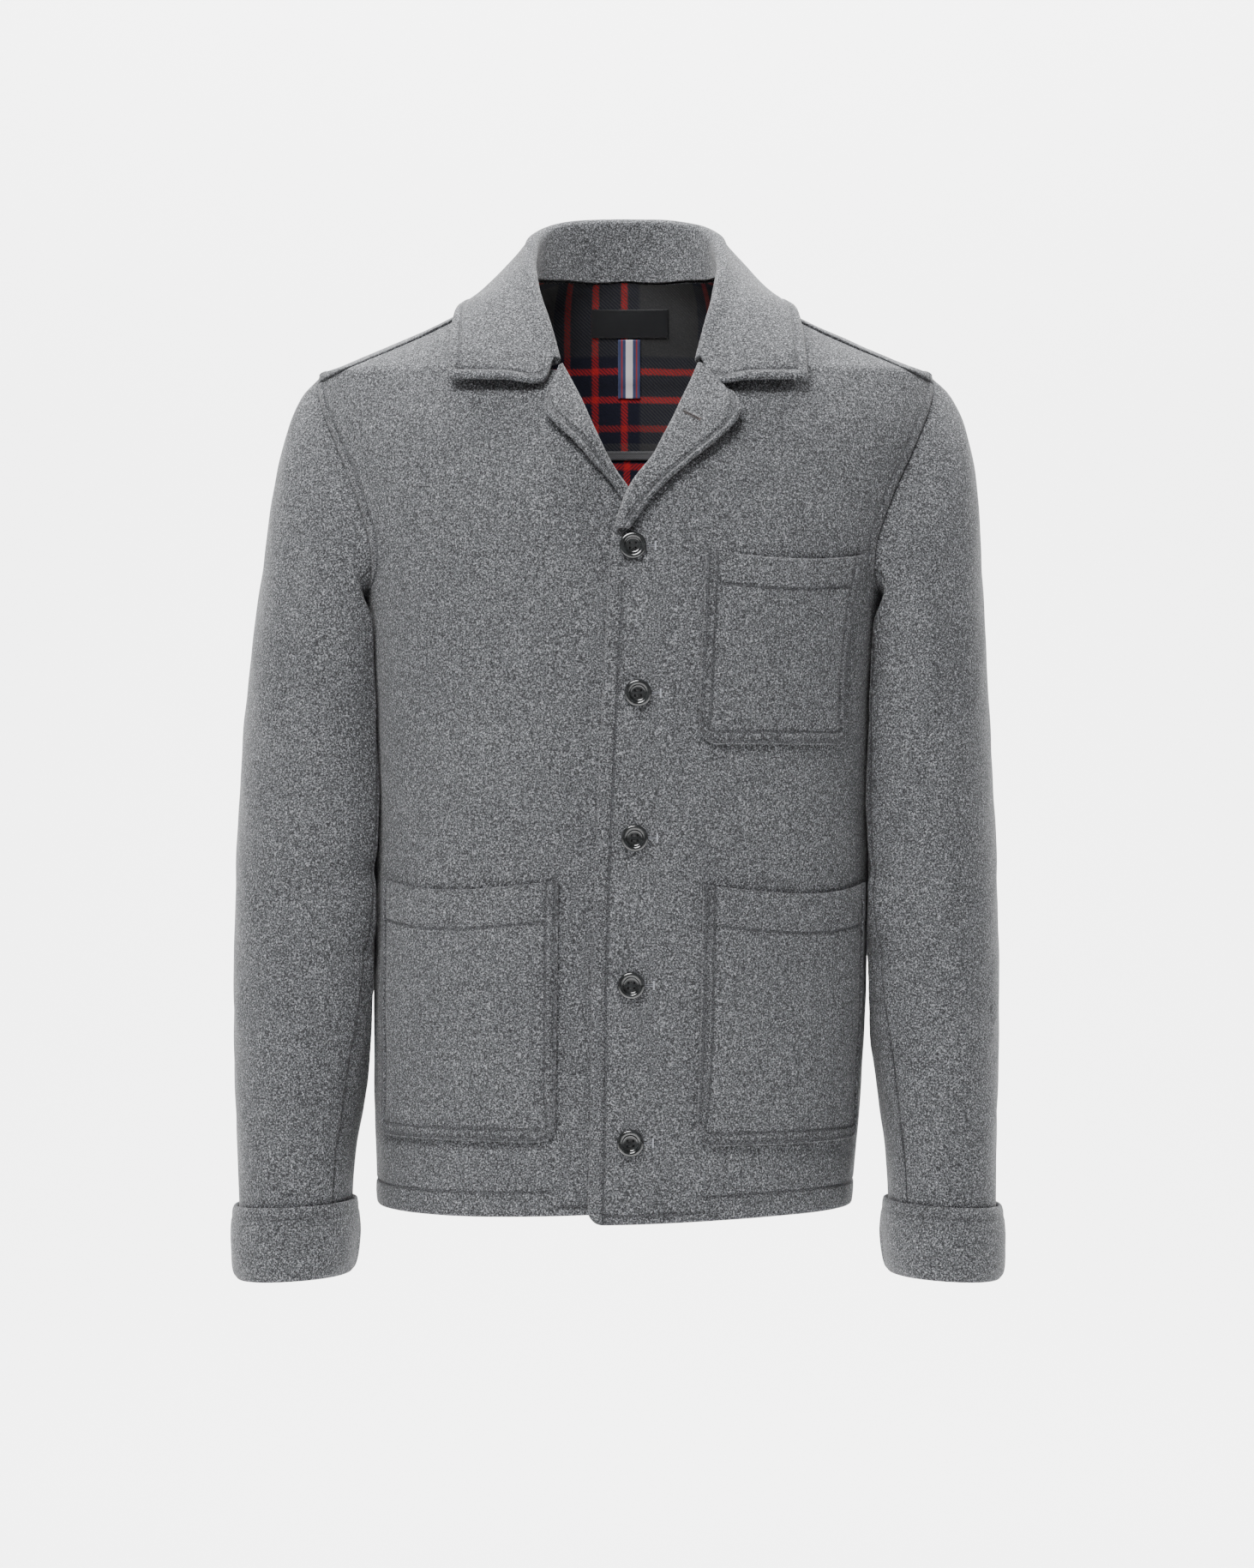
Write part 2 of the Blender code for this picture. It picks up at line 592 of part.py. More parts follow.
def front_edges(side, edge, lapel):
    """Edge curves of one front as its own angle and height."""
    opening = evenly(edge)
    roll = evenly(roll_edge(lapel, INSET + 0.0010))
    arm_rows = UNDER + (1 - UNDER) * np.array(ARMHOLE_ROWS)
    fold_end = arm_rows[GORGE_ROW - 1]
    neck_rows = arm_rows[GORGE_ROW:]
    neck_places = np.linspace(1.0, 0.6, len(neck_rows))
    gorge = (fold_end + neck_rows[0]) / 2

    def left(v):
        neck_x, over = neck_at(np.interp(v, neck_rows, neck_places)).T
        neck = np.column_stack([neck_x, ridge_height(neck_x) - over * over])
        low = np.clip(v / BELOW_LAPEL, 0, 1)
        high = np.clip((v - UNDER) / (fold_end - UNDER), 0, 1)
        step = np.clip((v - BELOW_LAPEL) / (UNDER - BELOW_LAPEL), 0, 1)[:, None]
        flat = np.where(v[:, None] < gorge, opening(low) * (1 - step) + roll(high) * step, neck)
        x, height = flat.T
        return np.column_stack([own_angle(side, x, height), height])

    def right(v):
        return np.column_stack(side_edge(v, TIP_TURN, UNDER))

    start = left(np.array([0.0]))[0]
    stop = right(np.array([0.0]))[0]
    bottom = smooth_curve([(0, *start), (0.5, (start[0] + stop[0]) / 2, HEM - 0.001), (1, *stop)])
    return left, right, bottom, seam_point


def sink(x, height):
    """How far the right front lies below the form where it runs under the left front."""
    near = eased(x, -0.060, -0.022) * (1 - eased(height, -0.150, -0.105))
    deep = eased(height, -0.245, -0.205) * (1 - eased(height, -0.150, -0.105))
    return -LAP * near - 0.0068 * deep * eased(x, -0.045, -0.006)


def rows_of(under, side_rows, armhole_rows):
    """Rows below the armhole, then the rows that share the armhole's places."""
    low = np.append(even(side_rows) * BELOW_LAPEL / UNDER, 1) * under
    return np.concatenate([low, under + (1 - under) * np.array(armhole_rows[1:])])


def make_front(name, side, edge, lapel, material):
    spread = patch(*front_edges(side, edge, lapel))

    def place(u, v, depth):
        angle, height = spread(shrunk(u, 0.20), shrunk(v, 0.70)).T
        turn = np.where(u > 0.999, side_turn(v, TIP_TURN, UNDER), np.nan)
        out = np.zeros_like(u)
        if side < 0:
            out = sink(body_skin(-angle, height)[:, 0], height)
        return panel(side * angle, height, depth, turn, out)

    rows = rows_of(UNDER, SIDE_ROWS, ARMHOLE_ROWS)
    return slab(name, even(FRONT_COLUMNS), rows, place, material)


def at_both_ends(u, turn):
    return np.where((u < 0.001) | (u > 0.999), turn, np.nan)


def yoke_line(u):
    """The yoke seam across the back, as x and over the shoulder."""
    seam_x = body_skin(*armhole_at(np.array([YOKE_TURN])).T)[0, 0]
    share = 2 * u - 1
    neck = NECK_COLUMNS / (NECK_COLUMNS + FRONT_COLUMNS)
    x = seam_x * np.sign(share) * np.interp(np.abs(share), [0, neck, 1], [0, 0.36, 1])
    return x, drop_over(x, np.full_like(x, YOKE_SEAM), True)


def make_back(material):
    """The back below the yoke, from side seam to side seam."""

    def left(v):
        return np.column_stack(side_edge(v, YOKE_TURN, BACK_UNDER))

    def right(v):
        angle, height = side_edge(v, YOKE_TURN, BACK_UNDER)
        return np.column_stack([360 - angle, height])

    def bottom(u):
        share = yoke_line(u)[0] / yoke_line(np.array([1.0]))[0]
        return np.column_stack([180 + 90 * share, np.full_like(u, HEM)])

    def top(u):
        x, over = yoke_line(u)
        angle, height = over_shoulder(-x, over)
        return np.column_stack([angle % 360, height])

    spread = patch(left, right, bottom, top)

    def place(u, v, depth):
        angle, height = spread(shrunk(u, 0.42), shrunk(v, 0.58)).T
        turn = at_both_ends(u, side_turn(v, YOKE_TURN, BACK_UNDER))
        return panel(angle, height, depth, turn)

    columns = even(2 * (NECK_COLUMNS + FRONT_COLUMNS))
    return slab("back", columns, rows_of(BACK_UNDER, SIDE_ROWS, BACK_ARMHOLE_ROWS), place, material)


def make_yoke(material):
    """The yoke, from its seam on the back over both shoulders to the shoulder seams."""
    neck = NECK_COLUMNS / (NECK_COLUMNS + FRONT_COLUMNS)

    def arm(v):
        angle, height = armhole_at((YOKE_TURN + (360 + TIP_TURN - YOKE_TURN) * v) % 360).T
        x = body_skin(angle, height)[:, 0]
        return x, drop_over(x, height, angle > 90)

    def left(v):
        x, over = arm(v)
        return np.column_stack([-x, over])

    def right(v):
        return np.column_stack(arm(v))

    def bottom(u):
        return np.column_stack(yoke_line(u))

    def top(u):
        share = np.abs(2 * u - 1)
        neck_x, neck_over = neck_at(0.6 * np.clip(share / neck, 0, 1)).T
        x = NECK_X + (TIP_X - NECK_X) * np.clip((share - neck) / (1 - neck), 0, 1)
        over = np.where(share < neck, neck_over, seam_over(x))
        return np.column_stack([np.sign(2 * u - 1) * np.where(share < neck, neck_x, x), over])

    spread = patch(left, right, bottom, top)

    def place(u, v, depth):
        x, over = spread(shrunk(u, 0.46), shrunk(v, 0.16)).T
        angle, height = over_shoulder(x, over)
        turn = at_both_ends(u, (YOKE_TURN + (360 + TIP_TURN - YOKE_TURN) * v) % 360)
        return panel(angle, height, depth, turn)

    return slab("back_yoke", even(2 * (NECK_COLUMNS + FRONT_COLUMNS)), even(YOKE_ROWS), place, material)


def lapel_place(side, lapel, pinch):
    """Carries a slab round the lapel's fold and out over the front to the lapel's edge. The
    fold grows tighter by the share pinch towards its lower end."""
    rows = np.array(lapel, float)
    row_at = smooth_curve(np.column_stack([even(len(rows) - 1), rows]))
    round_fold = 0.36

    def skin(u, v):
        roll_x, roll_height, edge_x, edge_height, lift = row_at(v).T
        length = np.hypot(edge_x - roll_x, edge_height - roll_height)
        way = np.column_stack([edge_x - roll_x, edge_height - roll_height]) / length[:, None]
        turn = np.clip(u / round_fold, 0, 1) * pi
        leaf = np.clip((u - round_fold) / (1 - round_fold), 0, 1)
        fold = FOLD * (1 - pinch * eased(v, 0.50, 0.85))
        reach = INSET - fold * np.sin(turn) + leaf * (length - INSET)
        flat = np.column_stack([roll_x, roll_height]) + way * reach[:, None]
        out = -WALL / 2 + fold * (1 - np.cos(turn)) + lift * leaf
        if side < 0:
            out = out + sink(-flat[:, 0], flat[:, 1])
        return front(side * flat[:, 0], flat[:, 1], out)

    def place(u, v, depth):
        normal = outward(skin, u, v, 0.004, 0.004) * side
        return skin(u, v) + normal * (DOUBLE * (depth - 0.5))[:, None]

    return place


def neck_seam(place):
    """Middle of the stand's lower edge, just inside the panels' neck edge."""

    def skin(place):
        return body_skin(*over_shoulder(*neck_at(place).T))

    angle, height = over_shoulder(*neck_at(place).T)
    normal = outward(body_skin, angle, height, 1.0, 0.001)
    along = skin(place + 0.01) - skin(place - 0.01)
    inward = np.cross(along, normal)
    inward /= np.linalg.norm(inward, axis=1)[:, None]
    flat = eased(place, 0.5, 1.0)[:, None]
    way = unit((1 - flat) * unit(inward * (1, 1, 0)) + flat * inward)
    aside = DOUBLE / 2 + 0.0005 + 0.0014 * flat
    return skin(place) + way * aside + normal * (0.0002 - 0.0014 * flat), normal, inward


def unit(rows):
    return rows / np.linalg.norm(rows, axis=1)[:, None]


def collar_skin(u, v):
    """Middle of the collar's cloth: u from -1 to 1 round the neck, v from the seam to the edge.
    The fold's top points up at the back and turns inwards where the collar lies flat."""
    place = np.abs(u)
    row = collar_at(place)
    seam, normal, inward = neck_seam(np.clip(place, 0.011, 0.989))
    seam[:, 0] *= np.clip(place / 0.011, 0, 1)
    roll = row[:, 0:3]
    near = row[:, 3:6]
    middle = row[:, 6:9]
    edge = body(*over_shoulder(row[:, 9], row[:, 10]), row[:, 11])
    flat = eased(place, 0.5, 1.0)[:, None]
    up = unit((1 - flat) * np.array([0, 0, 1.0]) + flat * inward)
    out = (1 - flat) * unit(near - roll) + flat * normal
    out = unit(out - up * np.sum(out * up, axis=1)[:, None])
    radius = 0.0040 - 0.0010 * flat
    centre = roll - up * radius
    slant = radius * 0.707
    knots = (
        (0.00, seam),
        (0.16, (seam + centre - out * radius) / 2),
        (0.30, centre - out * radius),
        (0.34, centre - out * slant + up * slant),
        (0.38, roll),
        (0.42, centre + out * slant + up * slant),
        (0.46, centre + out * radius),
        (0.58, near),
        (0.78, middle),
        (1.00, edge),
    )
    point = np.zeros_like(seam)
    for i in range(len(knots) - 1):
        v0, p0 = knots[i]
        v1, p1 = knots[i + 1]
        before_v, before = knots[max(i - 1, 0)]
        after_v, after = knots[min(i + 2, len(knots) - 1)]
        inside = (v >= v0) | (i == 0)
        t = ((v - v0) / (v1 - v0))[:, None]
        start = (p1 - before) / (v1 - before_v) * (v1 - v0)
        stop = (after - p0) / (after_v - v0) * (v1 - v0)
        value = p0 * (1 + 2 * t) * (1 - t) ** 2 + p1 * t * t * (3 - 2 * t)
        value += start * t * (1 - t) ** 2 - stop * t * t * (1 - t)
        point = np.where(inside[:, None], value, point)
    point[:, 0] *= np.where(u < 0, -1, 1)
    point[:, 0] += 0.0015 * eased(place, 0.5, 1.0) * eased(v, 0.1, 0.35)
    return point


def make_collar(material):
    def place(u, v, depth):
        normal = outward(collar_skin, np.clip(u, -0.975, 0.975), v, 0.01, 0.01)
        return collar_skin(u, v) + normal * (DOUBLE * (0.5 - depth))[:, None]

    half = np.array(COLLAR_COLUMNS)
    return slab("collar", np.concatenate([-half[:0:-1], half]), COLLAR_ROWS, place, material)


def make_sleeve(word, form, material):
    """Top sleeve and under sleeve, from the armhole to just above the wrist fold."""
    top = [t for t in np.concatenate([ARM_TURNS - 360, ARM_TURNS]) if BACK_SEAM - 360.1 < t < FRONT_SEAM + 0.1]
    top = [t for i, t in enumerate(top) if i == 0 or t - top[i - 1] > 0.1]
    under = [t for t in ARM_TURNS if FRONT_SEAM - 0.1 < t < BACK_SEAM + 0.1]

    def place(turn, share, depth):
        outer = form(turn, share)
        inner = form(turn, share, np.full_like(share, -WALL))
        lean = seam_way(turn)
        lean[:, 0] *= np.sign(outer[:, 0])
        inner = np.where(share[:, None] < 0.001, outer - lean * WALL, inner)
        return outer + (inner - outer) * depth[:, None]

    for name, turns in ((f"top_sleeve_{word}", top), (f"under_sleeve_{word}", under)):
        turns = np.array(turns)
        turns[0] += 0.4
        turns[-1] -= 0.4
        slab(name, turns, (*SLEEVE_ROWS, SLEEVE_END), place, material)


def make_cuff(word, form, material):
    """The turned-back end of the sleeve: a ring folded at the wrist, open at its top."""
    top = 0.912
    outline = (
        # how far outside the sleeve (m), share of the sleeve's length
        (0.0012, top + 0.004),
        (0.0020, top),
        (0.0042, top + 0.002),
        (0.0062, top + 0.018),
        (0.0070, top + 0.044),
        (0.0062, top + 0.070),
        (0.0036, top + 0.085),
        (0.0008, top + 0.088),
        (-0.0020, top + 0.081),
        (-0.0027, SLEEVE_END + 0.0006),
        (0.0002, SLEEVE_END + 0.0006),
        (0.0024, top + 0.056),
        (0.0034, top + 0.042),
        (0.0032, top + 0.022),
        (0.0018, top + 0.010),
    )
    base = 0.1

    def place(turn, radius, along):
        turn = np.interp(turn % 360, np.linspace(0, 360, len(ARM_TURNS)), ARM_TURNS)
        return form(turn, along, radius - base)

    rings = [(base + out, share) for out, share in outline]
    turned(f"cuff_{word}", rings, len(ARM_TURNS) - 1, material, place)


def make_pocket(name, side, corner, width, height, puff, sag, material):
    """A patch on a front. corner is its upper inner corner, as x and height; width and height
    are its size along the cloth."""
    inner_x, top = corner
    start = own_angle(side, inner_x, np.array([top]))[0]
    stop = start + np.degrees(width / 0.172)
    edge = own_angle(side, -0.02, np.array([top]))[0]
    grid = edge + (90 - edge) * even(FRONT_COLUMNS)
    inside = [angle for angle in grid if start + 4.5 < angle < stop - 4.5]
    columns = [start, start + 1.1, start + 3.8, *inside, stop - 3.8, stop - 1.1, stop]

    def place(angle, v, depth):
        u = (angle - start) / (stop - start)
        rise = top - height * (1 - v) - sag * v * np.sin(u * pi)
        near_side = np.minimum(u, 1 - u) * width
        low = np.clip(1 - near_side / 0.012, 0, 1)
        rise = rise + (1 - np.sqrt(1 - low**2)) * 0.012 * (1 - v) ** 6
        swell = puff * (np.sin(pi * u) * np.sin(pi * np.clip(v * 0.9 + 0.05, 0, 1))) ** 0.7
        return body(side * angle, rise, 0.0004 + WALL * (1 - depth) + swell)

    slab(name, columns, (0, 0.03, 0.08, 0.2, 0.36, 0.52, 0.68, 0.84, 1), place, material)


def surfaces(pieces):
    """Search trees of the pieces' surfaces."""
    trees = []
    for piece in pieces:
        shape = bmesh.new()
        shape.from_mesh(piece.data)
        trees.append(BVHTree.FromBMesh(shape))
        shape.free()
    return trees


def make_button(name, backing, x, height, material):
    """A sewn button, just clear of the front that it lies on."""
    radius = BUTTON_RADIUS
    outline = (
        (0.0, 0.0),
        (radius * 0.75, 0.0),
        (radius, BUTTON_HEIGHT * 0.5),
        (radius * 0.90, BUTTON_HEIGHT),
        (radius * 0.72, BUTTON_HEIGHT * 0.94),
        (radius * 0.58, BUTTON_HEIGHT * 0.60),
        (0.0, BUTTON_HEIGHT * 0.50),
    )
    button = turned(name, outline, 16, material)
    far = 0.020
    start = Vector(front([x], [height], far)[0])
    ahead = (start - Vector(front([x], [height])[0])).normalized()
    turn = ahead.to_track_quat("Z", "Y").to_matrix().to_4x4()
    under = [turn @ Vector((radius * cos(a), radius * sin(a), 0)) for a in np.linspace(0, 2 * pi, 17)]
    tree = surfaces([backing])[0]
    near = min(tree.ray_cast(start + corner, -ahead)[3] for corner in under)
    button.data.transform(Matrix.Translation(start - ahead * (near - 0.0003)) @ turn)
    return button


BUTTONS = ((0.0053, -0.1960), (0.0090, -0.3034), (0.0066, -0.4090), (0.0041, -0.5165), (0.0034, -0.6315))


def make_strip(name, backing, left, right, low, high, thick, columns, rows, material):
    """A small flat piece laid on the inside of the back pieces, between two heights."""
    trees = surfaces(backing)

    def depth_at(x, height):
        hits = [tree.ray_cast(Vector((x, -0.03, height)), Vector((0, 1, 0)))[0] for tree in trees]
        return min(hit.y for hit in hits if hit)

    def place(u, v, depth):
        x = left + (right - left) * u
        height = low + (high - low) * v
        y = np.array([depth_at(*spot) for spot in zip(x, height)])
        lean = outward(body_skin, 180 - angle_of(x, height), height, 1.0, 0.001)
        return np.column_stack([x, y, height]) - lean * (0.0006 + thick * depth)[:, None]

    return slab(name, even(columns), even(rows), place, material)


def clear_scene():
    for thing in list(bpy.data.objects):
        bpy.data.objects.remove(thing)


def main():
    clear_scene()
    wool = cloth("grey_wool", (0.16, 0.165, 0.175))
    inside = cloth("black_label", (0.01, 0.01, 0.013), 0.6)
    ribbon = cloth("navy_ribbon", (0.03, 0.04, 0.10), 0.7)
    horn = cloth("dark_horn", (0.015, 0.014, 0.013), 0.25)
    front_left = make_front("front_left", 1, LEFT_EDGE, LEFT_LAPEL, wool)
    make_front("front_right", -1, RIGHT_EDGE, RIGHT_LAPEL, wool)
    back = make_back(wool)
    yoke = make_yoke(wool)
    slab("lapel_left", LAPEL_COLUMNS, even(len(LEFT_LAPEL) - 1), lapel_place(1, LEFT_LAPEL, 0), wool)
    slab("lapel_right", LAPEL_COLUMNS, even(len(RIGHT_LAPEL) - 1), lapel_place(-1, RIGHT_LAPEL, 0.27), wool)
    make_collar(wool)
    for word, form in (("left", left_form), ("right", right_form)):
        make_sleeve(word, form, wool)
        make_cuff(word, form, wool)
    make_pocket("chest_pocket", 1, (0.0580, -0.1995), 0.130, 0.141, 0.0012, 0.005, wool)
    make_pocket("hip_pocket_left", 1, (0.0560, -0.4430), 0.173, 0.191, 0.0022, 0.007, wool)
    make_pocket("hip_pocket_right", -1, (0.0485, -0.4400), 0.173, 0.191, 0.0022, 0.007, wool)
    for number, (x, height) in enumerate(BUTTONS, 1):
        make_button(f"button_{number}", front_left, x, height, horn)
    make_strip("neck_label", [yoke], -0.0268, 0.0335, -0.0212, 0.0002, 0.0006, 6, 3, inside)
    make_strip("hanging_ribbon", [yoke], -0.0060, 0.0114, -0.0668, -0.0225, 0.0008, 3, 5, ribbon)
    low = YOKE_SEAM - 0.0035
    make_strip("yoke_tape", [yoke, back], -0.150, 0.150, low, low + 0.007, 0.0012, 20, 2, wool)


main()
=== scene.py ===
"""The looks of a hollow grey wool work jacket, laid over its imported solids.

Metres, +Z up, the front towards -Y, the wearer's left at +X. Each cut piece of cloth is a fine
wall on the same body form or sleeve form as its solid. Its edges are turned, its seams are
pressed, and its topstitching lies in soft grooves at set distances from the edges.
"""

from math import cos, pi, sin

import bmesh
import bpy
import numpy as np
from mathutils import Matrix, Vector
from mathutils.bvhtree import BVHTree


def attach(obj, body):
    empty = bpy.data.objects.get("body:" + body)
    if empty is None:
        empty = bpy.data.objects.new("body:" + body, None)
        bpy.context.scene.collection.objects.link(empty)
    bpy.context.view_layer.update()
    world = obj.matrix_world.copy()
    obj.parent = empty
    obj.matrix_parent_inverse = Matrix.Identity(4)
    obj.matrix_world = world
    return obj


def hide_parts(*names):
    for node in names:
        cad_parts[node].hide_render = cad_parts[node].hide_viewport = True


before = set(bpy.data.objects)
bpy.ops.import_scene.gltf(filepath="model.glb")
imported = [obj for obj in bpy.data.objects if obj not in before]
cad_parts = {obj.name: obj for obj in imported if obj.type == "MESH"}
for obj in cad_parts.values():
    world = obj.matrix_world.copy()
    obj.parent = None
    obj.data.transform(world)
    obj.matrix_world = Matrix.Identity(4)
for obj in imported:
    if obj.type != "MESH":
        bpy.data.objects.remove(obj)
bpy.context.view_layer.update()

# Driving sizes of the cloth
WALL = 0.0027  # one layer of heavy double-faced wool
DOUBLE = 0.0040  # two pressed layers, in the collar and lapels
LAP = WALL + 0.0009  # how far the under front lies below the upper one
HEM = -0.686
YOKE_SEAM = -0.111
BUTTON_RADIUS = 0.0100
BUTTON_HEIGHT = 0.0042

# Body sections: height, half width, front depth, back depth, squareness, middle x
SECTIONS = (
    (0.046, 0.002, 0.030, 0.050, 2.0, 0.000),
    (0.034, 0.046, 0.032, 0.066, 2.0, 0.000),
    (0.020, 0.070, 0.036, 0.072, 2.0, 0.000),
    (0.006, 0.091, 0.046, 0.078, 2.1, 0.000),
    (-0.012, 0.125, 0.055, 0.084, 2.1, 0.000),
    (-0.038, 0.181, 0.069, 0.094, 2.15, 0.000),
    (-0.053, 0.217, 0.078, 0.099, 2.2, 0.000),
    (-0.060, 0.2320, 0.083, 0.102, 2.2, 0.000),
    (-0.085, 0.2350, 0.097, 0.109, 2.25, 0.000),
    (-0.110, 0.2315, 0.109, 0.115, 2.3, 0.000),
    (-0.150, 0.2205, 0.123, 0.121, 2.3, -0.001),
    (-0.200, 0.2060, 0.133, 0.123, 2.35, -0.002),
    (-0.240, 0.1965, 0.137, 0.120, 2.4, -0.002),
    (-0.300, 0.1905, 0.137, 0.113, 2.4, -0.003),
    (-0.400, 0.1870, 0.133, 0.106, 2.4, -0.003),
    (-0.500, 0.1870, 0.131, 0.108, 2.4, -0.004),
    (-0.600, 0.1845, 0.131, 0.116, 2.4, -0.006),
    (-0.700, 0.1790, 0.131, 0.121, 2.4, -0.009),
)

# Armhole seam: turn round it (0 at the shoulder tip, 90 front, 180 underarm), angle, height
ARMHOLE = (
    (0, 90.0, -0.0600),
    (20, 80.0, -0.0760),
    (45, 71.0, -0.1050),
    (67, 66.5, -0.1330),
    (90, 63.8, -0.1600),
    (112, 62.5, -0.1860),
    (135, 64.5, -0.2090),
    (157, 74.0, -0.2270),
    (180, 90.0, -0.2350),
    (203, 104.0, -0.2280),
    (225, 111.5, -0.2100),
    (248, 114.5, -0.1850),
    (270, 114.5, -0.1580),
    (293, 112.5, -0.1310),
    (315, 109.0, -0.1040),
    (340, 100.5, -0.0760),
)

# Front edge of each front, x towards its own side, and height
LEFT_EDGE = (
    (-0.0278, -0.6920),
    (-0.0260, -0.6100),
    (-0.0253, -0.5215),
    (-0.0235, -0.4590),
    (-0.0204, -0.3780),
    (-0.0166, -0.2970),
    (-0.0122, -0.2120),
    (-0.0098, -0.1865),
)
RIGHT_EDGE = (
    (-0.0300, -0.6835),
    (-0.0300, -0.480),
    (-0.0290, -0.290),
    (-0.0240, -0.225),
    (-0.0195, -0.198),
)
# Neck seam from the middle of the back to the gorge: place, x, over the shoulder
NECK = (
    (0.00, 0.0000, -0.160),
    (0.15, 0.0300, -0.141),
    (0.30, 0.0545, -0.105),
    (0.42, 0.0680, -0.062),
    (0.52, 0.0760, 0.010),
    (0.60, 0.0795, 0.075),
    (0.70, 0.0780, 0.134),
    (0.80, 0.0735, 0.194),
    (0.90, 0.0680, 0.248),
    (1.00, 0.0625, 0.292),
)
# Lapels from the gorge down: roll x, roll height, edge x, edge height, lift off the front
LEFT_LAPEL = (
    (0.0530, -0.0580, 0.0770, -0.0850, 0.0018),
    (0.0474, -0.0710, 0.0826, -0.0925, 0.0040),
    (0.0405, -0.0855, 0.0838, -0.0978, 0.0052),
    (0.0340, -0.0999, 0.0818, -0.1042, 0.0050),
    (0.0262, -0.1155, 0.0672, -0.1195, 0.0036),
    (0.0188, -0.1295, 0.0500, -0.1332, 0.0026),
    (0.0042, -0.1484, 0.0300, -0.1500, 0.0010),
    (-0.0016, -0.1590, 0.0200, -0.1605, 0.0008),
    (-0.0060, -0.1715, 0.0110, -0.1725, 0.0006),
    (-0.0095, -0.1835, 0.0035, -0.1838, 0.0004),
)
RIGHT_LAPEL = (
    (0.0472, -0.0580, 0.0545, -0.0800, 0.0000),
    (0.0408, -0.0690, 0.0592, -0.0935, 0.0024),
    (0.0345, -0.0805, 0.0590, -0.0995, 0.0036),
    (0.0290, -0.0920, 0.0530, -0.1066, 0.0034),
    (0.0205, -0.1113, 0.0378, -0.1201, 0.0024),
    (0.0117, -0.1283, 0.0240, -0.1340, 0.0008),
    (0.0040, -0.1395, 0.0130, -0.1450, 0.0004),
    (-0.0028, -0.1484, 0.0060, -0.1545, 0.0002),
    (-0.0085, -0.1600, -0.0010, -0.1660, 0.0000),
    (-0.0140, -0.1760, -0.0060, -0.1800, 0.0000),
    (-0.0190, -0.1930, -0.0105, -0.1950, 0.0000),
)

# Collar from the middle of the back (0) to the gorge (1), on the wearer's left: place, then
# x y z of the roll, of the leaf near it and of the leaf's middle, then x, over and lift of its edge
COLLAR = (
    (0.00, 0.0000, 0.0790, 0.0690, 0.0000, 0.0880, 0.0540, 0.0000, 0.0925, 0.0350, 0.0000, -0.207, 0.0045),
    (0.12, 0.0240, 0.0755, 0.0680, 0.0265, 0.0845, 0.0532, 0.0290, 0.0890, 0.0348, 0.0310, -0.195, 0.0045),
    (0.24, 0.0445, 0.0655, 0.0650, 0.0500, 0.0735, 0.0510, 0.0560, 0.0775, 0.0330, 0.0610, -0.165, 0.0045),
    (0.36, 0.0625, 0.0470, 0.0580, 0.0705, 0.0530, 0.0460, 0.0800, 0.0560, 0.0280, 0.0890, -0.118, 0.0045),
    (0.48, 0.0720, 0.0170, 0.0455, 0.0820, 0.0200, 0.0345, 0.0955, 0.0230, 0.0200, 0.1120, -0.060, 0.0045),
    (0.60, 0.0735, -0.0130, 0.0270, 0.0850, -0.0120, 0.0175, 0.1015, -0.0105, 0.0070, 0.1225, 0.015, 0.0045),
    (0.70, 0.0700, -0.0330, 0.0120, 0.0825, -0.0335, 0.0045, 0.1005, -0.0325, -0.0015, 0.1270, 0.085, 0.0060),
    (0.80, 0.0650, -0.0500, -0.0070, 0.0775, -0.0530, -0.0125, 0.0985, -0.0550, -0.0170, 0.1290, 0.140, 0.0078),
    (0.90, 0.0585, -0.0655, -0.0290, 0.0710, -0.0710, -0.0365, 0.0955, -0.0748, -0.0390, 0.1305, 0.195, 0.0098),
    (1.00, 0.0515, -0.0805, -0.0555, 0.0625, -0.0940, -0.0725, 0.0900, -0.0962, -0.0712, 0.1315, 0.244, 0.0105),
)

# Sleeve rings from the armhole to the wrist fold:
# outer x, outer height, inner x, inner height, middle y, half depth
LEFT_SLEEVE = (
    (0.2320, -0.0600, 0.1955, -0.2350, -0.005, 0.0630),
    (0.2460, -0.0735, 0.2015, -0.2425, -0.004, 0.0660),
    (0.2590, -0.1005, 0.1960, -0.2505, -0.003, 0.0700),
    (0.2665, -0.1400, 0.1830, -0.2620, -0.001, 0.0740),
    (0.2700, -0.1900, 0.1740, -0.2810, 0.000, 0.0755),
    (0.2735, -0.2600, 0.1690, -0.3200, 0.000, 0.0750),
    (0.2770, -0.3400, 0.1680, -0.3730, -0.002, 0.073),
    (0.2815, -0.4300, 0.1690, -0.4400, -0.007, 0.069),
    (0.2825, -0.5200, 0.1770, -0.5170, -0.014, 0.065),
    (0.2810, -0.6000, 0.1890, -0.5950, -0.022, 0.061),
    (0.2790, -0.6700, 0.1970, -0.6650, -0.030, 0.056),
    (0.2785, -0.7400, 0.2000, -0.7350, -0.036, 0.054),
)
